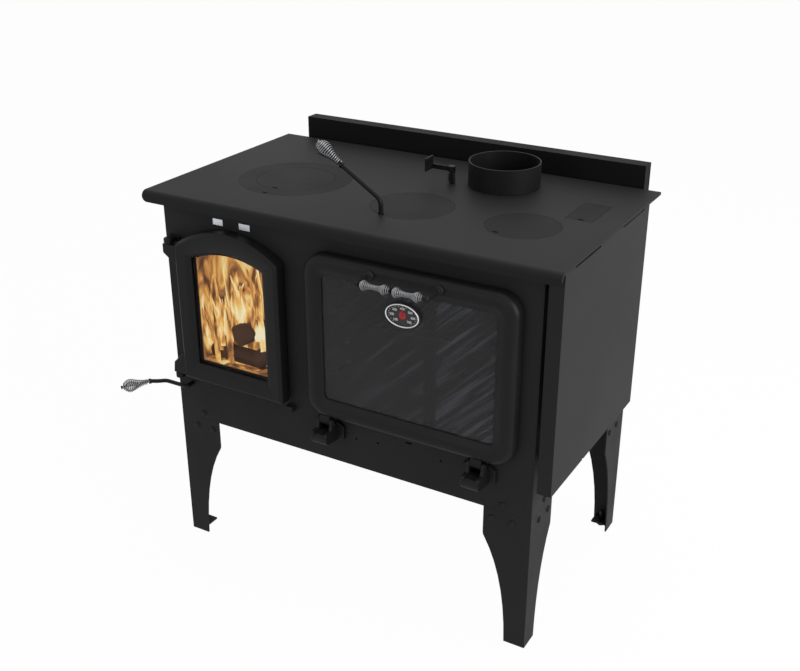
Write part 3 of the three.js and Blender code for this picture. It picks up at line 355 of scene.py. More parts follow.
def oven_glass():
    """Smoked glass with a faint painted reflection of slanting streaks, stronger towards its right side, and
    one clear band.
    """
    material = glass_material("oven glass", (0.02, 0.02, 0.021), (0.12, 0.2), 0.72)
    nodes, links = material.node_tree.nodes, material.node_tree.links
    shader = nodes["Principled BSDF"]
    shader.inputs["Specular IOR Level"].default_value = 0.12
    coords = nodes.new("ShaderNodeTexCoord")
    mapping = nodes.new("ShaderNodeMapping")
    mapping.vector_type = "TEXTURE"
    mapping.inputs["Rotation"].default_value = (0, math.radians(REFLECTION_STREAK_TURN), 0)
    mapping.inputs["Scale"].default_value = REFLECTION_STREAK_STRETCH
    streaks = nodes.new("ShaderNodeTexNoise")
    streaks.inputs["Scale"].default_value = 3.0
    streaks.inputs["Detail"].default_value = 2.0
    links.new(coords.outputs["Object"], mapping.inputs["Vector"])
    links.new(mapping.outputs[0], streaks.inputs["Vector"])
    split = nodes.new("ShaderNodeSeparateXYZ")
    links.new(coords.outputs["Object"], split.inputs[0])
    side = nodes.new("ShaderNodeMapRange")
    side.inputs["From Min"].default_value = REFLECTION_START
    side.inputs["From Max"].default_value = REFLECTION_FULL
    links.new(split.outputs["X"], side.inputs["Value"])
    lines = nodes.new("ShaderNodeMapRange")
    lines.inputs["From Min"].default_value = 0.5
    lines.inputs["From Max"].default_value = 0.66
    links.new(streaks.outputs["Fac"], lines.inputs["Value"])
    band = nodes.new("ShaderNodeMath")
    band.operation = "COMPARE"
    band.inputs[1].default_value = CLEAR_BAND
    band.inputs[2].default_value = CLEAR_HALF
    links.new(split.outputs["X"], band.inputs[0])
    bare = nodes.new("ShaderNodeMath")
    bare.operation = "SUBTRACT"
    bare.use_clamp = True
    links.new(side.outputs["Result"], bare.inputs[0])
    links.new(band.outputs[0], bare.inputs[1])
    amount = nodes.new("ShaderNodeMath")
    amount.operation = "MULTIPLY"
    links.new(bare.outputs[0], amount.inputs[0])
    links.new(lines.outputs["Result"], amount.inputs[1])
    # Painted reflection: the glass colour lightens along the streaks.
    painted_reflection = nodes.new("ShaderNodeMix")
    painted_reflection.data_type = "RGBA"
    painted_reflection.inputs[6].default_value = GLASS_DARK
    painted_reflection.inputs[7].default_value = GLASS_REFLECTION_COLOUR
    links.new(amount.outputs[0], painted_reflection.inputs[0])
    links.new(painted_reflection.outputs[2], shader.inputs["Base Color"])
    return material


# Painted shade: the cooktop takes a darker copy of the stove's black paint, set for how light falls on its
# top.
SHADED_TOP_PAINT = coat("top plate paint with painted shade", (0.0098, 0.0098, 0.0102), (0.0108, 0.0108, 0.0112), (0.54, 0.57),
                 cloud=4, level=0.1)
FRONT_PAINT = coat("front panel paint", (0.012, 0.012, 0.013), (0.015, 0.015, 0.016), (0.55, 0.66),
                   level=0.12)
# Painted shade: the side shield takes a darker copy of the stove's black paint, so its front lip reads dark.
SHADED_SIDE_PAINT = coat("side shield paint with painted shade", (0.0112, 0.0112, 0.0117), (0.0124, 0.0124, 0.0129), (0.54, 0.57),
                  cloud=4, level=0.13)
# Painted shade: the rear shield and rear panel take a darker copy of the stove's black paint.
SHADED_REAR_PAINT = coat("rear shield paint with painted shade", (0.005, 0.005, 0.0055), (0.007, 0.007, 0.0075), (0.55, 0.65),
                  level=0.06)
CAST_PAINT = coat("painted door casting", (0.0065, 0.0065, 0.007), (0.009, 0.009, 0.0095), (0.4, 0.5),
                  grain=420, bump=0.2, level=0.13)
LID_IRON = coat("lid iron", (0.0085, 0.0085, 0.009), (0.0098, 0.0098, 0.0103), (0.54, 0.6),
                grain=500, bump=0.16, level=0.07)
COLLAR_IRON = coat("collar iron", (0.006, 0.006, 0.0065), (0.008, 0.008, 0.0085), (0.45, 0.55), level=0.1)
BARE_STEEL = coat("blackened steel", (0.0035, 0.0035, 0.004), (0.006, 0.006, 0.0065), (0.35, 0.5), level=0.12)
CHROME = coat("bright wire", (0.18, 0.182, 0.19), (0.26, 0.262, 0.27), (0.28, 0.38), metallic=1.0, bump=0.02)
WHITE_METAL = coat("white enamel rim", (0.8, 0.81, 0.82), (0.9, 0.9, 0.91), (0.3, 0.4), bump=0.02)
ZINC = coat("zinc plate", (0.62, 0.64, 0.68), (0.8, 0.82, 0.86), (0.3, 0.45), metallic=0.6)
ROPE = coat("door rope", (0.03, 0.03, 0.029), (0.06, 0.06, 0.058), (0.9, 1.0), grain=600, bump=0.5)
FIRECLAY = coat("fireclay", (0.36, 0.25, 0.15), (0.5, 0.36, 0.22), (0.85, 0.95), grain=260, bump=0.5)
SOOT = coat("sooty steel", (0.008, 0.008, 0.008), (0.016, 0.015, 0.014), (0.6, 0.8), level=0.2)
LINER = coat("oven enamel", (0.05, 0.05, 0.052), (0.065, 0.065, 0.067), (0.3, 0.42), level=0.5)
DIAL_BLACK = coat("dial black", (0.012, 0.012, 0.013), (0.02, 0.02, 0.021), (0.4, 0.5))
DIAL_RED = coat("dial red", (0.36, 0.012, 0.01), (0.45, 0.02, 0.015), (0.4, 0.5))
DIAL_WHITE = coat("dial white", (0.75, 0.76, 0.77), (0.85, 0.86, 0.87), (0.4, 0.5))
BARK = coat("charred bark", (0.05, 0.022, 0.012), (0.2, 0.095, 0.05), (0.8, 0.95),
            cloud=60, grain=140, bump=0.9)
FIRE_GLASS = glass_material("fire glass", (0.02, 0.018, 0.016), (0.03, 0.06), 0.10)
OVEN_GLASS = oven_glass()
FIRE_BACK = fire_material("fire glow", 24, 0.45, 0.42, 0.85)
FIRE_FRONT = fire_material("flame tongues", 34, 0.52, 0.3, 0.95)

# Painted shade: the cooktop, side shield, rear shield and rear panel wear darker copies of the one black
# paint.
NODE_PAINT = {
    "cooktop": SHADED_TOP_PAINT, "right_side_shield": SHADED_SIDE_PAINT, "rear_heat_shield": SHADED_REAR_PAINT,
    "front_panel": FRONT_PAINT, "left_side_panel": FRONT_PAINT, "right_side_panel": FRONT_PAINT,
    "rear_panel": SHADED_REAR_PAINT, "bottom_panel": FRONT_PAINT, "window_strip": ZINC,
    "oven_liner": LINER, "oven_rack": CHROME, "oven_door_glass": OVEN_GLASS,
    "cleanout_cover": LID_IRON, "firebox_shell": SOOT, "baffle": SOOT, "flue_wall": SOOT,
    "gauge_needle": DIAL_RED,
}
SLOT_PAINT = {
    "black_paint": FRONT_PAINT, "black_cast_iron": CAST_PAINT, "chrome_wire": CHROME,
    "door_glass": FIRE_GLASS, "rope_seal": ROPE, "firebrick": FIRECLAY, "zinc_plate": ZINC,
    "red_paint": DIAL_RED, "dark_steel": BARE_STEEL,
}


def paint_nodes():
    """Every carried-over part gets its finish from its own name or from its slot."""
    for part in frame["record"]["subparts"]:
        node = frame["nodes"][part["node"]]
        material = NODE_PAINT.get(part["node"], SLOT_PAINT[part["material_slot"]])
        if part["node"].startswith("levelling_bolt"):
            material = BARE_STEEL
        for holder in node.material_slots:
            holder.material = material


paint_nodes()

# ---------- Mesh tools ----------


def piece(bm, name, body, material, replaces=(), bevel=0.0, angle=32):
    """Turns a bmesh in millimetres into a finished piece that rides on a body."""
    bm.transform(TO_FRAME)
    bmesh.ops.recalc_face_normals(bm, faces=bm.faces)
    mesh = bpy.data.meshes.new(name)
    bm.to_mesh(mesh)
    bm.free()
    mesh.materials.append(material)
    mesh.polygons.foreach_set("use_smooth", [True] * len(mesh.polygons))
    mesh.set_sharp_from_angle(angle=math.radians(angle))
    item = bpy.data.objects.new(name, mesh)
    bpy.context.scene.collection.objects.link(item)
    if bevel:
        edge = item.modifiers.new("edges", "BEVEL")
        edge.width = bevel * MM
        edge.segments = 2
        edge.limit_method = "ANGLE"
        edge.angle_limit = math.radians(angle)
        edge.harden_normals = True
    if replaces:
        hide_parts(*replaces)
    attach(item, body)
    return item


def banded(outline, section):
    """A closed frame: each section row (inset, y) follows the outline at that inset."""
    bm = bmesh.new()
    rings = [[bm.verts.new((x, y, z)) for x, z in outline(inset)] for inset, y in section]
    count = len(rings[0])
    for ring, following in zip(rings, rings[1:] + rings[:1]):
        for i in range(count):
            j = (i + 1) % count
            bm.faces.new((ring[i], ring[j], following[j], following[i]))
    return bm


def thickened(bm, faces, way):
    """bm with its faces pushed out along way."""
    moved = bmesh.ops.extrude_face_region(bm, geom=faces)["geom"]
    bmesh.ops.translate(bm, vec=way, verts=[item for item in moved if isinstance(item, bmesh.types.BMVert)])
    return bm


def prism(points, way):
    """A flat outline pushed out along way."""
    bm = bmesh.new()
    face = bm.faces.new([bm.verts.new(point) for point in points])
    return thickened(bm, [face], way)


def turned(profile, centre, axis, steps):
    """A profile of (radius, height) pairs turned about an axis through centre."""
    bm = bmesh.new()
    verts = [bm.verts.new((radius, 0, height)) for radius, height in profile]
    edges = [bm.edges.new(pair) for pair in zip(verts, verts[1:])]
    bmesh.ops.spin(bm, geom=verts + edges, cent=(0, 0, 0), axis=(0, 0, 1), angle=2 * math.pi,
                   steps=steps, use_merge=True)
    bmesh.ops.remove_doubles(bm, verts=bm.verts, dist=1e-4)
    turn = Vector((0, 0, 1)).rotation_difference(Vector(axis)).to_matrix().to_4x4()
    bm.transform(Matrix.Translation(centre) @ turn)
    return bm


def block(x0, x1, y0, y1, z0, z1):
    bm = bmesh.new()
    size = Matrix.Diagonal((x1 - x0, y1 - y0, z1 - z0, 1))
    middle = Matrix.Translation(((x0 + x1) / 2, (y0 + y1) / 2, (z0 + z1) / 2))
    bmesh.ops.create_cube(bm, size=1, matrix=middle @ size)
    return bm


def together(*parts):
    """Several bmeshes in one."""
    whole = bmesh.new()
    for part in parts:
        mesh = bpy.data.meshes.new("part")
        part.to_mesh(mesh)
        part.free()
        whole.from_mesh(mesh)
        bpy.data.meshes.remove(mesh)
    return whole


def baked(bm, tools):
    """bm with each tool cut from it."""
    mesh = bpy.data.meshes.new("blank")
    bm.to_mesh(mesh)
    bm.free()
    blank = bpy.data.objects.new("blank", mesh)
    bpy.context.scene.collection.objects.link(blank)
    helpers = []
    for tool in tools:
        tool_mesh = bpy.data.meshes.new("tool")
        bmesh.ops.recalc_face_normals(tool, faces=tool.faces)
        tool.to_mesh(tool_mesh)
        tool.free()
        helper = bpy.data.objects.new("tool", tool_mesh)
        bpy.context.scene.collection.objects.link(helper)
        modifier = blank.modifiers.new("cut", "BOOLEAN")
        modifier.operation = "DIFFERENCE"
        modifier.solver = "EXACT"
        modifier.object = helper
        helpers.append(helper)
    graph = bpy.context.evaluated_depsgraph_get()
    result = bmesh.new()
    result.from_mesh(blank.evaluated_get(graph).to_mesh())
    for helper in [*helpers, blank]:
        data = helper.data
        bpy.data.objects.remove(helper)
        bpy.data.meshes.remove(data)
    return result


def wire(points, radius, sides):
    """A round bar through points: a small circle carried along them."""
    curve = bpy.data.curves.new("wire", "CURVE")
    curve.dimensions = "3D"
    curve.bevel_depth = radius
    curve.bevel_resolution = max(1, sides // 2 - 2)
    curve.use_fill_caps = True
    spline = curve.splines.new("POLY")
    spline.points.add(len(points) - 1)
    for spot, point in zip(spline.points, points):
        spot.co = (*point, 1)
    holder = bpy.data.objects.new("wire", curve)
    bpy.context.scene.collection.objects.link(holder)
    graph = bpy.context.evaluated_depsgraph_get()
    bm = bmesh.new()
    bm.from_mesh(holder.evaluated_get(graph).to_mesh())
    bmesh.ops.remove_doubles(bm, verts=bm.verts, dist=1e-3)
    bpy.data.objects.remove(holder)
    bpy.data.curves.remove(curve)
    return bm


def rounded_path(points, radius, steps=6):
    """The points joined by straight runs with each inner corner rounded."""
    path = [Vector(points[0])]
    for before, corner, after in zip(points, points[1:], points[2:]):
        corner = Vector(corner)
        to_before = Vector(before) - corner
        to_after = Vector(after) - corner
        reach = min(radius, to_before.length / 2.2, to_after.length / 2.2)
        start = corner + to_before.normalized() * reach
        end = corner + to_after.normalized() * reach
        for i in range(steps + 1):
            t = i / steps
            path.append(start * (1 - t) ** 2 + corner * 2 * t * (1 - t) + end * t ** 2)
    path.append(Vector(points[-1]))
    return path


# ---------- Wound wire ----------

COIL_STEPS = 20
BULB_TURNS, BULB_WIRE = 14, 2.5
TWIN_TURNS, TWIN_WIRE = 20, 1.9
DAMPER_TURNS, DAMPER_WIRE, DAMPER_COIL = 4, 3.2, 6.9


def wound(start, way, length, turns, thickness, radius_at):
    """A helix of wire from start along way, straight for one thickness at each end."""
    turn = Vector((0, 0, 1)).rotation_difference(Vector(way)).to_matrix()
    points = [Vector((radius_at(0), 0, 0))]
    count = int(turns * COIL_STEPS)
    for i in range(count + 1):
        u = i / count
        a = u * turns * 2 * math.pi
        r = radius_at(u)
        points.append(Vector((r * math.cos(a), r * math.sin(a), thickness + u * (length - 2 * thickness))))
    points.append(Vector((points[-1].x, points[-1].y, length)))
    return wire([Vector(start) + turn @ p for p in points], thickness / 2, 10)


def bulb(u):
    """The winding's radius along a pear-shaped grip."""
    return 4.9 + 9 * math.sin(math.pi * u ** 2.2)


def twin_bulb(u):
    """The winding's radius along a grip with two swellings."""
    return 4.4 + 5.5 * math.sin(math.pi * (2 * u - 1) ** 2) ** 2


def even(u):
    """The damper coil's radius, the same all along."""
    return DAMPER_COIL


# ---------- Cooking top ----------

TOP_HALF = 468.4
TOP_FRONT = -21
TOP_REAR = 507.4
LIP_RADIUS = 13
LIP_DROP = 23.2
LIP_CORNER = 12
LID_FLANGE = 3
LID_DEPTH = 10
LEDGE = 7
CUT_ABOVE, CUT_BELOW = 5, 30
SEAM = 0.5
SLOT = (13, 5)
SLOT_INSET = 7.6
SLOT_CUT = 40
BIG_LID = (-239, 209)
BIG_RING, BIG_INNER = 120, 84
MIDDLE_LID = (67.6, 173)
MIDDLE_RADIUS = 84.5
SMALL_LID = (308, 173.5)
SMALL_RADIUS = 73.5
SMALL_SLOT = (SMALL_LID[0] - 31.8, SMALL_LID[1] - 57.2)
SOOT_COVER = (387, 309.5)
SOOT_SIZE = (57, 108)
COLLAR = (165.7, 391.8)
COLLAR_RADIUS = 76.2
COLLAR_HEIGHT = 52
COLLAR_WALL = 3
SPIGOT_RADIUS = COLLAR_RADIUS - COLLAR_WALL - 1
SPIGOT_DROP = 12
DAMPER = (64.5, 346.6)
DAMPER_SHAFT = 4
LIFTER = (38.7, 99)


def arc(cx, cy, radius, start, end, steps):
    """Points on a circle, from start to end in degrees."""
    points = []
    for i in range(steps + 1):
        a = math.radians(start + (end - start) * i / steps)
        points.append((cx + radius * math.cos(a), cy + radius * math.sin(a)))
    return points


def drum(centre, radius, low, high, steps=96):
    return turned([(0, low), (radius, low), (radius, high), (0, high)], (*centre, 0), (0, 0, 1), steps)


def cooktop():
    bend_y, bend_z = TOP_FRONT + LIP_RADIUS, TOP_HEIGHT - LIP_RADIUS
    outer = arc(bend_y, bend_z, LIP_RADIUS, 90, 180, 10)
    inner = arc(bend_y, bend_z, LIP_RADIUS - PLATE, 180, 90, 8)
    bottom = TOP_HEIGHT - LIP_DROP
    section = [(TOP_REAR, TOP_HEIGHT), *outer, (TOP_FRONT, bottom), (TOP_FRONT + PLATE, bottom), *inner,
               (TOP_REAR, UNDER_TOP)]
    plate = prism([(-TOP_HALF, y, z) for y, z in section], (2 * TOP_HALF, 0, 0))
    low, high = UNDER_TOP - CUT_BELOW, TOP_HEIGHT + CUT_ABOVE
    seat = TOP_HEIGHT - LID_FLANGE - GAP
    tools = []
    for centre, radius in ((BIG_LID, BIG_RING), (MIDDLE_LID, MIDDLE_RADIUS), (SMALL_LID, SMALL_RADIUS)):
        tools.append(drum(centre, radius + SEAM, seat, high))
        tools.append(drum(centre, radius - LEDGE + SEAM, low, high))
    x, y = SOOT_COVER
    for grow, floor in ((SEAM, seat), (SEAM - LEDGE, low)):
        w, d = SOOT_SIZE[0] / 2 + grow, SOOT_SIZE[1] / 2 + grow
        tools.append(block(x - w, x + w, y - d, y + d, floor, high))
    tools.append(drum(COLLAR, SPIGOT_RADIUS + SEAM, low, high))
    tools.append(drum(DAMPER, DAMPER_SHAFT + SEAM, low, high, 24))
    for side in (-1, 1):
        rim = arc(TOP_HALF - LIP_CORNER, bottom + LIP_CORNER, LIP_CORNER, 0, -90, 8)
        waste = [*rim, (TOP_HALF - LIP_CORNER, bottom - 5), (TOP_HALF + 5, bottom - 5),
                 (TOP_HALF + 5, bottom + LIP_CORNER)]
        tools.append(prism([(side * x, TOP_FRONT - 3, z) for x, z in waste], (0, PLATE + 6, 0)))
    # The cooking top wears the darker copy of the black paint: painted shade.
    piece(baked(plate, tools), "cooking_top", "stove", SHADED_TOP_PAINT,
          ["cooktop"], bevel=0.5, angle=28)


def lid_blank(centre, radius):
    """A solid lid: a plug that drops in the hole, under a thin rim."""
    high = TOP_HEIGHT
    foot, rim = high - LID_DEPTH, high - LID_FLANGE
    plug = radius - LEDGE
    profile = [(0, foot), (plug, foot), (plug, rim), (radius, rim), (radius, high), (0, high)]
    return turned(profile, (*centre, 0), (0, 0, 1), 96)


def slot_tool(x, y):
    """A lifter slot with round ends."""
    half = SLOT[0] / 2 - SLOT[1] / 2
    ends = arc(x + half, y, SLOT[1] / 2, -90, 90, 6) + arc(x - half, y, SLOT[1] / 2, 90, 270, 6)
    return prism([(px, py, TOP_HEIGHT - SLOT_CUT) for px, py in ends], (0, 0, 1.5 * SLOT_CUT))


def lids():
    x, y = BIG_LID
    high = TOP_HEIGHT + CUT_ABOVE
    ring = baked(lid_blank(BIG_LID, BIG_RING), [
        drum(BIG_LID, BIG_INNER + SEAM, TOP_HEIGHT - LID_FLANGE - GAP, high),
        drum(BIG_LID, BIG_INNER - LEDGE + SEAM, TOP_HEIGHT - CUT_BELOW, high),
        slot_tool(x, y - BIG_RING + SLOT_INSET)])
    piece(ring, "large_ring", "large_lid_ring", LID_IRON, ["lid_ring"], bevel=0.5)
    inner_slot = (x, y - BIG_INNER + SLOT_INSET)
    for name, node, body, centre, radius, slot in (
        ("large_inner_lid", "lid_inner", "large_lid_inner", BIG_LID, BIG_INNER, inner_slot),
        ("middle_lid_plate", "lid_centre", "middle_lid", MIDDLE_LID, MIDDLE_RADIUS, LIFTER),
        ("small_lid_plate", "lid_right", "small_lid", SMALL_LID, SMALL_RADIUS, SMALL_SLOT),
    ):
        plate = baked(lid_blank(centre, radius), [slot_tool(*slot)])
        piece(plate, name, body, LID_IRON, [node], bevel=0.5)


def flue_collar():
    """The pipe's collar, stepped in to a spigot that drops through the top."""
    high = TOP_HEIGHT + COLLAR_HEIGHT
    floor = TOP_HEIGHT + COLLAR_WALL
    foot = TOP_HEIGHT - SPIGOT_DROP
    bore, spigot_bore = COLLAR_RADIUS - COLLAR_WALL, SPIGOT_RADIUS - COLLAR_WALL
    outline = [(COLLAR_RADIUS, TOP_HEIGHT + GAP), (COLLAR_RADIUS, high), (bore, high), (bore, floor),
               (spigot_bore, floor), (spigot_bore, foot), (SPIGOT_RADIUS, foot),
               (SPIGOT_RADIUS, TOP_HEIGHT + GAP), (COLLAR_RADIUS, TOP_HEIGHT + GAP)]
    piece(turned(outline, (*COLLAR, 0), (0, 0, 1), 128), "pipe_collar", "stove", COLLAR_IRON,
          ["flue_collar"], bevel=0.4)


cooktop()
lids()
flue_collar()

# ---------- Lid lifter ----------

FERRULE = Vector((-52, 99, 921))
GRIP_WAY = (Vector((-106, 99, 957.5)) - FERRULE).normalized()
GRIP_LENGTH = 65
GRIP_CORE = 2.6
LIFTER_BAR = 4.75
LIFTER_BEND = 863


def lifter():
    x, y = LIFTER
    foot = TOP_HEIGHT + GAP
    bar = wire(rounded_path([(x, y, foot), (x, y, LIFTER_BEND), FERRULE], 14), LIFTER_BAR, 14)
    tip = block(x - 5.5, x + 5.5, y - 1.9, y + 1.9, foot, TOP_HEIGHT + 3)
    core = wire([FERRULE - GRIP_WAY, FERRULE + GRIP_WAY * (GRIP_LENGTH + 1)], GRIP_CORE, 10)
    sleeve = turned([(0, -6), (5, -6), (6.35, -4.5), (6.35, -0.4), (5.6, 0), (0, 0)], FERRULE, GRIP_WAY, 24)
    cap = turned([(0, 0.6), (4.4, 0.6), (4.4, 2), (3.4, 3), (0, 3)],
                 FERRULE + GRIP_WAY * GRIP_LENGTH, GRIP_WAY, 20)
    piece(together(bar, tip, core, sleeve, cap), "lifter_bar", "lifter", BARE_STEEL,
          ["lifter_rod"])
    grip = wound(FERRULE + GRIP_WAY * GAP, GRIP_WAY, GRIP_LENGTH, BULB_TURNS, BULB_WIRE, bulb)
    piece(grip, "lifter_wire_grip", "lifter", CHROME, ["lifter_grip"], angle=60)


lifter()

# ---------- Damper ----------

ARM_FOOT, ARM_HEAD = 860, 870
PLATE_HEAD = 888
PLATE_OUT = 47.9
PLATE_FORWARD = 31
PLATE_SLOTS = (9, 20)
SHAFT_DROP = 84


def plate_slot(left, middle):
    """An upright slot with round ends, through the handle's plate."""
    ends = arc(middle, PLATE_HEAD - 8, 2, 0, 180, 6) + arc(middle, ARM_HEAD, 2, 180, 360, 6)
    return prism([(left - 2, y, z) for y, z in ends], (8, 0, 0))


def damper():
    x, y = DAMPER
    left, end = x - PLATE_OUT, y - PLATE_FORWARD
    hub = turned([(0, -SHAFT_DROP), (DAMPER_SHAFT, -SHAFT_DROP), (DAMPER_SHAFT, 25.8), (8, 25.8), (8, 36.8),
                  (7, 37.8), (0, 37.8)], (x, y, TOP_HEIGHT), (0, 0, 1), 32)
    arm = block(left + 1, x, y - 1.5, y + 1.5, ARM_FOOT, ARM_HEAD)
    plate = baked(block(left, left + 3, end, y + 1.5, ARM_FOOT, PLATE_HEAD),
                  [plate_slot(left, end + along) for along in PLATE_SLOTS])
    piece(together(hub, arm, plate), "damper_handle", "damper", BARE_STEEL,
          ["damper_lever"], bevel=0.3)
    spring = wound((x, y, TOP_HEIGHT + GAP), (0, 0, 1), ARM_FOOT - TOP_HEIGHT - 2 * GAP,
                   DAMPER_TURNS, DAMPER_WIRE, even)
    piece(spring, "damper_coil", "damper", BARE_STEEL, ["damper_spring"], angle=60)


damper()

# ---------- Doors ----------

FIRE_CENTRE, FIRE_HALF = -256.3, 129.75
FIRE_BOTTOM, FIRE_SPRING, FIRE_CROWN = 425.7, 732.5, 777.5
FIRE_SIDE, FIRE_FOOT, FIRE_SHOULDER, FIRE_HEAD = 39.35, 41.3, 21.5, 44.9
OVEN_CENTRE, OVEN_HALF = 164.5, 230.5
OVEN_BOTTOM, OVEN_TOP = 424, 778
OVEN_BORDER, OVEN_CORNER, OVEN_INNER_CORNER = 42, 45, 10
DOOR_BACK = -3.2
PIN_X, PIN_Y = -408, -20
LUG = 10.5
LUG_THICKNESS = 16
FIRE_SECTION = [
    (0, DOOR_BACK), (0, -27), (6, -33), (29.35, -31), (FIRE_SIDE, -24.3), (FIRE_SIDE, -21.3), (29.35, -21.3),
    (29.35, DOOR_BACK),
]
OVEN_SECTION = [
    (0, DOOR_BACK), (0, -17), (1.2, -21.5), (4, -26), (8, -28.8), (13, -30), (26, -30), (28.5, -29.2),
    (40, -24.4), (OVEN_BORDER, -23.7), (OVEN_BORDER, -21), (32, -21), (32, DOOR_BACK),
]
HINGE_BOSS = 12.5
OVEN_HINGES = (("left", -25), ("right", 319))
OVEN_PIN_Y, OVEN_PIN_Z = -17, 411
PIN_RADIUS = 4
KNUCKLE_HALF = 11.7


def fire_outline(inset, steps=40):
    share = inset / FIRE_SIDE
    side = FIRE_HALF - inset
    bottom = FIRE_BOTTOM + share * FIRE_FOOT
    spring = FIRE_SPRING - share * FIRE_SHOULDER
    crown = FIRE_CROWN - share * FIRE_HEAD
    rise = crown - spring
    radius = (side * side + rise * rise) / (2 * rise)
    swing = math.degrees(math.asin(side / radius))
    top = arc(FIRE_CENTRE, crown - radius, radius, 90 - swing, 90 + swing, steps)
    return [(FIRE_CENTRE - side, bottom), (FIRE_CENTRE + side, bottom), *top]


def oven_outline(inset, steps=14):
    side = OVEN_HALF - inset
    bottom, top = OVEN_BOTTOM + inset, OVEN_TOP - inset
    radius = max(2, OVEN_CORNER - inset * (OVEN_CORNER - OVEN_INNER_CORNER) / OVEN_BORDER)
    right, left = OVEN_CENTRE + side - radius, OVEN_CENTRE - side + radius
    low, high = bottom + radius, top - radius
    return (arc(right, low, radius, -90, 0, steps) + arc(right, high, radius, 0, 90, steps)
            + arc(left, high, radius, 90, 180, steps) + arc(left, low, radius, 180, 270, steps))


def lug(points):
    """A hinge lug on the fire door's edge, about the upright pin."""
    return prism([(x, PIN_Y - LUG_THICKNESS / 2, z) for x, z in points], (0, LUG_THICKNESS, 0))


def fire_door():
    edge = FIRE_CENTRE - FIRE_HALF
    tip = PIN_X - LUG
    frame_mesh = banded(fire_outline, FIRE_SECTION)
    upper = lug([(edge + 2, 689), (edge + 2, 729), (tip, 729), (tip, 709), (tip + 20, 695)])
    lower = lug([(edge + 2, 430), (edge + 2, 480), (edge - 4, 480), (tip + 3, 455), (tip, 430)])
    piece(together(frame_mesh, upper, lower), "fire_door_casting", "fire_door", CAST_PAINT,
          ["fire_door_frame"], bevel=1.6, angle=30)


def oven_door():
    knuckles = []
    for _, x in OVEN_HINGES:
        barrel = [(0, -KNUCKLE_HALF), (8, -KNUCKLE_HALF), (8, KNUCKLE_HALF), (0, KNUCKLE_HALF)]
        knuckles.append(turned(barrel, (x, OVEN_PIN_Y, OVEN_PIN_Z), (1, 0, 0), 24))
        knuckles.append(block(x - KNUCKLE_HALF, x + KNUCKLE_HALF, OVEN_PIN_Y - 8, OVEN_PIN_Y + 8,
                              OVEN_PIN_Z, OVEN_PIN_Z + 16))
    piece(together(banded(oven_outline, OVEN_SECTION), *knuckles), "oven_door_casting", "oven_door",
          CAST_PAINT, ["oven_door_frame"], bevel=0.6, angle=40)


def fire_hinge(name, node, low, pin_low, pin_high):
    """A boss over or under the door's lug, with its pin, and an arm and foot on the front panel."""
    high = low + HINGE_BOSS
    axis = (PIN_X, PIN_Y, 0)
    boss = turned([(0, low), (8.5, low), (9.5, low + 1), (9.5, high - 2), (7.5, high), (0, high)],
                  axis, (0, 0, 1), 32)
    pin = turned([(0, pin_low), (PIN_RADIUS, pin_low), (PIN_RADIUS, pin_high), (0, pin_high)],
                 axis, (0, 0, 1), 20)
    arm = block(PIN_X - 7, PIN_X + 9, PIN_Y, -GAP, low + 1, high - 1)
    foot = block(PIN_X - 12, FIRE_CENTRE - FIRE_HALF - 4, -4.3, -GAP, low, high)
    piece(together(boss, pin, arm, foot), name, "stove", CAST_PAINT, [node], bevel=0.7)


def oven_hinge(side, x):
    """Two cheeks and a shelf that the open door rests on, webs to the panel, and the pin with its heads."""
    pin = (x, OVEN_PIN_Y, OVEN_PIN_Z)
    toe = [(-GAP, 366), (-42, 370), (-47, 373), (-50, 379)]
    cheek = [*toe, (-50, 392), (-48, 396), (-45, 397.5), (-31, 397.5), (-28.5, 401),
             *arc(OVEN_PIN_Y, OVEN_PIN_Z, 10, 180, 0, 12), (-GAP, 407)]
    shelf = [*toe, (-50, 388), (-45, 393), (-GAP, 393)]
    parts = [prism([(start, y, z) for y, z in cheek], (7, 0, 0)) for start in (x - 19, x + 12)]
    parts.append(prism([(x - 13, y, z) for y, z in shelf], (26, 0, 0)))
    for way in (-1, 1):
        web = [(18, 366), (33, 370), (35, 374), (35, 401), (18, 411)]
        parts.append(prism([(x + way * out, -9, z) for out, z in web], (0, 9 - GAP, 0)))
    parts.append(turned([(0, -21), (PIN_RADIUS, -21), (PIN_RADIUS, 21), (0, 21)], pin, (1, 0, 0), 20))
    for way in (-1, 1):
        parts.append(turned([(0, 18), (5.5, 18), (5.5, 20.5), (4.5, 21), (0, 21)], pin, (way, 0, 0), 20))
    piece(together(*parts), f"oven_hinge_{side}_casting", "stove", CAST_PAINT,
          [f"oven_hinge_{side}"], bevel=1.2)


fire_door()
oven_door()
fire_hinge("fire_hinge_top", "fire_hinge_upper", 729.3, 699, 731)
fire_hinge("fire_hinge_foot", "fire_hinge_lower", 417.2, 428, 452)
for side, x in OVEN_HINGES:
    oven_hinge(side, x)

# ---------- Oven handle and gauge ----------

HANDLE_Y, HANDLE_Z = -76, 760
POSTS = (89.5, 237.5)
POST_ROOT = -30.3
POST_END = 6.5
HANDLE_MIDDLE = 163.5
MIDDLE_COLLAR = 1
HANDLE_COLLARS = ((90.5, 96), (162.5, 164.5), (231, 236.5))
POST_FLANGE = [(0, 0), (11, 0), (11, 3.4), (9.6, 5.6), (6.2, 6.6), (5, 8), (0, 8)]


def ball(x, y, z, radius):
    bm = bmesh.new()
    bmesh.ops.create_uvsphere(bm, u_segments=24, v_segments=14, radius=radius,
                              matrix=Matrix.Translation((x, y, z)))
    return bm


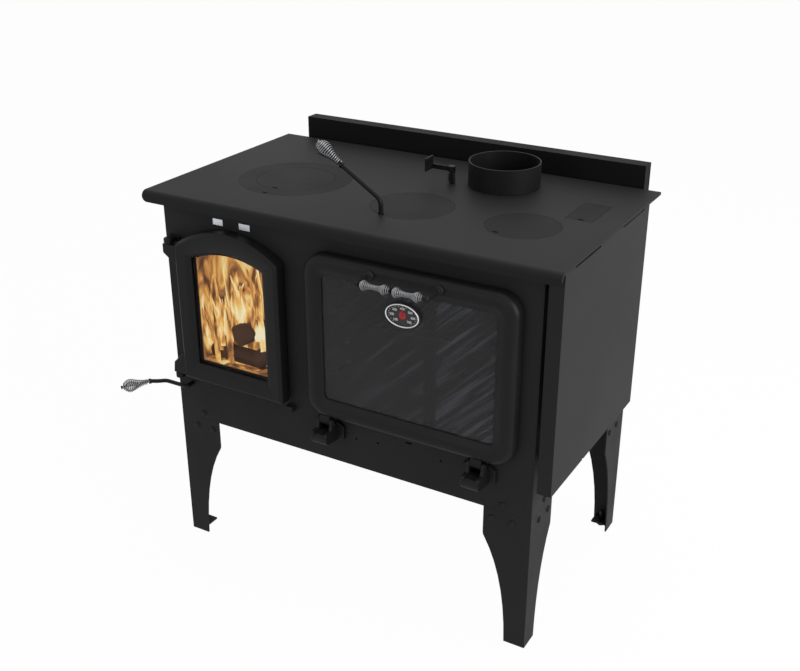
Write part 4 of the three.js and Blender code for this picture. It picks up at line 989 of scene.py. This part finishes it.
def handle():
    parts = []
    for x in POSTS:
        parts.append(wire([(x, POST_ROOT, HANDLE_Z), (x, HANDLE_Y, HANDLE_Z)], 5, 18))
        parts.append(turned(POST_FLANGE, (x, POST_ROOT, HANDLE_Z), (0, -1, 0), 32))
        parts.append(ball(x, HANDLE_Y, HANDLE_Z, 5.6))
    parts.append(wire([(POSTS[0], HANDLE_Y, HANDLE_Z), (POSTS[1], HANDLE_Y, HANDLE_Z)], 2.5, 12))
    for start, end in HANDLE_COLLARS:
        profile = [(0, 0), (6, 0), (6, end - start), (0, end - start)]
        parts.append(turned(profile, (start, HANDLE_Y, HANDLE_Z), (1, 0, 0), 24))
    piece(together(*parts), "handle_bar", "oven_door", CAST_PAINT, ["oven_handle_bar"])
    length = POSTS[1] - HANDLE_MIDDLE - POST_END - MIDDLE_COLLAR - 2 * GAP
    for side, start in (("left", POSTS[0] + POST_END), ("right", HANDLE_MIDDLE + MIDDLE_COLLAR)):
        grip = wound((start + GAP, HANDLE_Y, HANDLE_Z), (1, 0, 0), length, TWIN_TURNS, TWIN_WIRE, twin_bulb)
        piece(grip, f"handle_grip_{side}", "oven_door", CHROME,
              [f"oven_grip_{side}"], angle=60)


GAUGE = (160, 692.5)
GAUGE_HALF = (36.3, 23.5)
GAUGE_BACK, GAUGE_FRONT, DISH = -21, -31, -28
SCALE_START, SCALE_SWEEP = 230, 280
MARKS = ("100", "200", "300", "400", "500", "600", "700")
MARK_REACH, MARK_SIZE = (23, 13.6), 6.6
TICKS, TICK_REACH = 19, (30.6, 18)


def oval(shrink, steps=72):
    rx, rz = GAUGE_HALF[0] - shrink, GAUGE_HALF[1] - shrink
    turns = [2 * math.pi * i / steps for i in range(steps)]
    return [(GAUGE[0] + rx * math.cos(a), GAUGE[1] + rz * math.sin(a)) for a in turns]


def on_scale(share, reach):
    """The angle at a share of the dial's scale, and the x and z of that place."""
    angle = math.radians(SCALE_START - share * SCALE_SWEEP)
    return angle, GAUGE[0] + reach[0] * math.cos(angle), GAUGE[1] + reach[1] * math.sin(angle)


def label(text, x, z, size, material, name):
    """Plain figures that stand just off the dial."""
    curve = bpy.data.curves.new(name, "FONT")
    curve.body = text
    curve.size = size
    curve.align_x = "CENTER"
    curve.align_y = "CENTER"
    curve.extrude = 0.08
    holder = bpy.data.objects.new(name, curve)
    bpy.context.scene.collection.objects.link(holder)
    graph = bpy.context.evaluated_depsgraph_get()
    bm = bmesh.new()
    bm.from_mesh(holder.evaluated_get(graph).to_mesh())
    bpy.data.objects.remove(holder)
    bpy.data.curves.remove(curve)
    bm.transform(Matrix.Translation((x, DISH - 0.25, z)) @ Matrix.Rotation(math.pi / 2, 4, "X"))
    piece(bm, name, "oven_door", material)


def gauge():
    lip = GAUGE_FRONT + 1.6
    case = banded(oval, [(0.3, GAUGE_BACK), (0.3, lip), (2.1, lip), (2.1, GAUGE_BACK)])
    piece(case, "gauge_case", "oven_door", DIAL_BLACK, ["gauge_body"], angle=50)
    rim = banded(oval, [(0, GAUGE_FRONT + 1.5), (0.5, GAUGE_FRONT), (1.6, GAUGE_FRONT),
                        (2.1, GAUGE_FRONT + 1), (2.1, GAUGE_FRONT + 1.5)])
    piece(rim, "gauge_rim", "oven_door", WHITE_METAL, angle=50)
    face = prism([(x, DISH + 1.5, z) for x, z in oval(2)], (0, -1.5, 0))
    piece(face, "gauge_face", "oven_door", DIAL_BLACK)
    centre = turned([(0, 0), (7.2, 0), (7.2, 0.12), (0, 0.12)], (GAUGE[0], DISH, GAUGE[1]), (0, -1, 0), 40)
    piece(centre, "gauge_centre", "oven_door", DIAL_RED)
    for i, mark in enumerate(MARKS):
        _, x, z = on_scale(i / (len(MARKS) - 1), MARK_REACH)
        label(mark, x, z, MARK_SIZE, DIAL_WHITE, f"gauge_mark_{mark}")
    ticks = []
    for i in range(TICKS):
        angle, x, z = on_scale(i / (TICKS - 1), TICK_REACH)
        tick = block(-0.9, 0.9, -0.1, 0.1, -0.3, 0.3)
        tick.transform(Matrix.Translation((x, DISH - 0.1, z)) @ Matrix.Rotation(-angle, 4, "Y"))
        ticks.append(tick)
    piece(together(*ticks), "gauge_ticks", "oven_door", DIAL_WHITE)


handle()
gauge()

# ---------- Air lever ----------

LEVER_X, LEVER_Y, LEVER_Z = -392, -22, 397
LEVER_BAR = 4.5
LEVER_BACK = 11.7
SHUTTER_LENGTH, SHUTTER_HALF, SHUTTER_SHEET = 62, 13, 3
LEVER_GRIP = Vector((-478, -42, LEVER_Z))
LEVER_WAY = Vector((-0.53, -0.848, 0)).normalized()
LEVER_GRIP_LENGTH = 60


def air_lever():
    path = [(LEVER_X, LEVER_BACK, LEVER_Z), (LEVER_X, LEVER_Y, LEVER_Z), (-450, LEVER_Y, LEVER_Z),
            (-463, -34, LEVER_Z), LEVER_GRIP, LEVER_GRIP + LEVER_WAY * 4]
    bar = wire(rounded_path(path, 8), LEVER_BAR, 14)
    core = wire([LEVER_GRIP, LEVER_GRIP + LEVER_WAY * (LEVER_GRIP_LENGTH + 5)], GRIP_CORE, 10)
    sleeve = turned([(0, -1), (5, -1), (6, 0), (6, 3.6), (5.4, 4), (0, 4)], LEVER_GRIP, LEVER_WAY, 24)
    cap = turned([(0, 0), (4.1, 0), (4.1, 1.4), (3, 2.2), (0, 2.2)],
                 LEVER_GRIP + LEVER_WAY * (LEVER_GRIP_LENGTH + 4.6), LEVER_WAY, 20)
    shutter = block(LEVER_X, LEVER_X + SHUTTER_LENGTH, LEVER_BACK - SHUTTER_SHEET, LEVER_BACK,
                    LEVER_Z - SHUTTER_HALF, LEVER_Z + SHUTTER_HALF)
    piece(together(bar, core, sleeve, cap, shutter), "air_control_bar", "air_control", BARE_STEEL,
          ["air_lever"])
    grip = wound(LEVER_GRIP + LEVER_WAY * (4 + GAP), LEVER_WAY, LEVER_GRIP_LENGTH,
                 BULB_TURNS, BULB_WIRE, bulb)
    piece(grip, "air_wire_grip", "air_control", CHROME, ["air_lever_grip"], angle=60)


air_lever()

# ---------- Corner brackets with their bolts ----------

BODY_DEPTH = 516.5
BRACKET_NEAR, BRACKET_FAR = 3.3, 98
BRACKET_SHEET = 3
BRACKET_LOW, BRACKET_HIGH = 271.5, 349.5
BOLT_SPOTS = ((62, 325.5), (84.5, 289.5), (40.5, 289.5))
BOLT_DOME = [(0, 0), (7, 0), (6.9, 0.7), (6.2, 1.9), (4.8, 2.9), (2.6, 3.6), (0, 3.8)]
BOLT_SHANK = [(0, 0), (4, 0), (4, 6.5), (0, 6.5)]
BODY_CORNERS = (
    ("front_left", -HALF_BODY, 0, 0), ("front_right", HALF_BODY, 0, 90),
    ("rear_right", HALF_BODY, BODY_DEPTH, 180), ("rear_left", -HALF_BODY, BODY_DEPTH, 270),
)


def corner_bracket():
    """The inner angle of one corner with its six bolts, drawn for the front left."""
    near, inner = BRACKET_NEAR, BRACKET_NEAR + BRACKET_SHEET
    parts = [block(near, BRACKET_FAR, near, inner, BRACKET_LOW, BRACKET_HIGH),
             block(near, inner, near, BRACKET_FAR, BRACKET_LOW, BRACKET_HIGH)]
    for along, z in BOLT_SPOTS:
        parts.append(turned(BOLT_DOME, (along, -GAP, z), (0, -1, 0), 28))
        parts.append(turned(BOLT_DOME, (-GAP, along, z), (-1, 0, 0), 28))
        parts.append(turned(BOLT_SHANK, (along, 6, z), (0, -1, 0), 16))
        parts.append(turned(BOLT_SHANK, (6, along, z), (-1, 0, 0), 16))
    return together(*parts)


def corner_brackets():
    for corner, x, y, turn in BODY_CORNERS:
        bracket = corner_bracket()
        bracket.transform(Matrix.Translation((x, y, 0)) @ Matrix.Rotation(math.radians(turn), 4, "Z"))
        piece(bracket, f"corner_bracket_{corner}", "stove", FRONT_PAINT,
              [f"leg_bracket_{corner}"])


corner_brackets()

# ---------- Fire ----------

FLAME_SEED = 11
FLAMES = 34
FLAME_LEFT, FLAME_SPREAD = -352, 208
FLAME_FRONT, FLAME_DEPTH = 6, 44
EDGE_FOOT, MIDDLE_FOOT = 458, 520
GLOW_LEFT, GLOW_RIGHT = -368.8, -130.5
GLOW_BACK = 63
GLOW_FOOT, GLOW_HEAD = 458.5, 699
LOGS = (
    ((-350, 38, 478), (-205, 28, 482), 18, 3), ((-330, 30, 508), (-262, 44, 530), 13, 5),
    ((-272, 12, 532), (-215, 54, 560), 24, 8), ((-224, 24, 480), (-158, 40, 540), 22, 9),
)
LOG_RINGS = 12


def tongue(x, y, foot, width, height, lean, steps=14):
    """A flame: a narrow pointed sheet that sways as it rises, with a rounded belly."""
    bm = bmesh.new()
    left, right = [], []
    for i in range(steps + 1):
        t = i / steps
        belly = math.sin(math.pi * min(1, 0.18 + 0.82 * t)) ** 0.8
        half = 0.5 * width * belly * (1 - 0.35 * t)
        sway = lean * t * t + 0.12 * width * math.sin(7 * t + lean)
        z = foot + height * t
        left.append(bm.verts.new((x + sway - half, y + 3 * math.sin(5 * t), z)))
        right.append(bm.verts.new((x + sway + half, y + 3 * math.cos(4 * t), z)))
    for i in range(steps):
        bm.faces.new((left[i], right[i], right[i + 1], left[i + 1]))
    return thickened(bm, bm.faces[:], (0, 1.2, 0))


def log(start, end, radius, seed):
    """A rough tapering round, worn in at both ends."""
    start, end = Vector(start), Vector(end)
    length = (end - start).length
    profile = [(0, 0), (radius * 0.9, 0), (radius, 3)]
    for i in range(1, LOG_RINGS):
        profile.append((radius * (1 - 0.05 * i / LOG_RINGS), 3 + (length - 6) * i / LOG_RINGS))
    profile += [(radius * 0.95, length - 3), (radius * 0.85, length), (0, length)]
    bm = turned(profile, start, end - start, 40)
    chance = random.Random(seed)
    waves = [(chance.uniform(0, 6.28), chance.uniform(2, 5), chance.uniform(0.04, 0.09)) for _ in range(4)]
    axis = (end - start).normalized()
    for vert in bm.verts:
        out = vert.co - start - axis * (vert.co - start).dot(axis)
        if out.length < 0.5 * radius:
            continue
        around = math.atan2(out.z, out.x + out.y)
        swell = sum(size * math.sin(count * around + phase) for phase, count, size in waves)
        vert.co += out * swell * 0.5
    return bm


def fire():
    """Glowing sheets behind, left of and under the fire, with logs and flames before them."""
    outside = GLOW_LEFT - 1.4
    glow = together(
        block(GLOW_LEFT, GLOW_RIGHT, GLOW_BACK - 3, GLOW_BACK, GLOW_FOOT, GLOW_HEAD),
        block(outside, GLOW_LEFT - 0.2, 4, GLOW_BACK, GLOW_FOOT, GLOW_HEAD),
        block(outside, GLOW_RIGHT, 12.5, GLOW_BACK, GLOW_FOOT - 3.5, GLOW_FOOT - 0.5),
    )
    piece(glow, "fire_glow", "stove", FIRE_BACK)
    piece(together(*[log(*entry) for entry in LOGS]), "logs", "stove", BARK)
    chance = random.Random(FLAME_SEED)
    tongues = []
    for i in range(FLAMES):
        share = (i + chance.random()) / FLAMES
        x = FLAME_LEFT + FLAME_SPREAD * share
        y = FLAME_FRONT + FLAME_DEPTH * chance.random() * min(1, 0.15 + share)
        low = EDGE_FOOT if share < 0.3 or share > 0.7 else MIDDLE_FOOT
        foot = low + chance.uniform(0, 60)
        width = chance.uniform(10, 26)
        height = chance.uniform(80, 170)
        lean = chance.uniform(-20, 20)
        tongues.append(tongue(x, y, foot, width, height, lean))
    piece(together(*tongues), "flames", "stove", FIRE_FRONT, angle=60)


fire()

# ---------- Rack guides ----------

LINER_SHEET = 3
GUIDE_PITCH = 45
GUIDE_RUNS = (0, 1, 3, 4)


def rack_guides():
    """Clips along the oven's left wall. The run at the rack's own height stays clear."""
    wall = corners("oven_liner")[0].x + LINER_SHEET
    parts = []
    for front, rear, foot in ((6, 26, 508.7), (60, 72, 509)):
        for run in GUIDE_RUNS:
            low = foot + GUIDE_PITCH * run
            parts.append(block(wall + 0.6, wall + 7, front, rear, low, low + 2.5))
    piece(together(*parts), "rack_guide_clips", "stove", ZINC)


rack_guides()
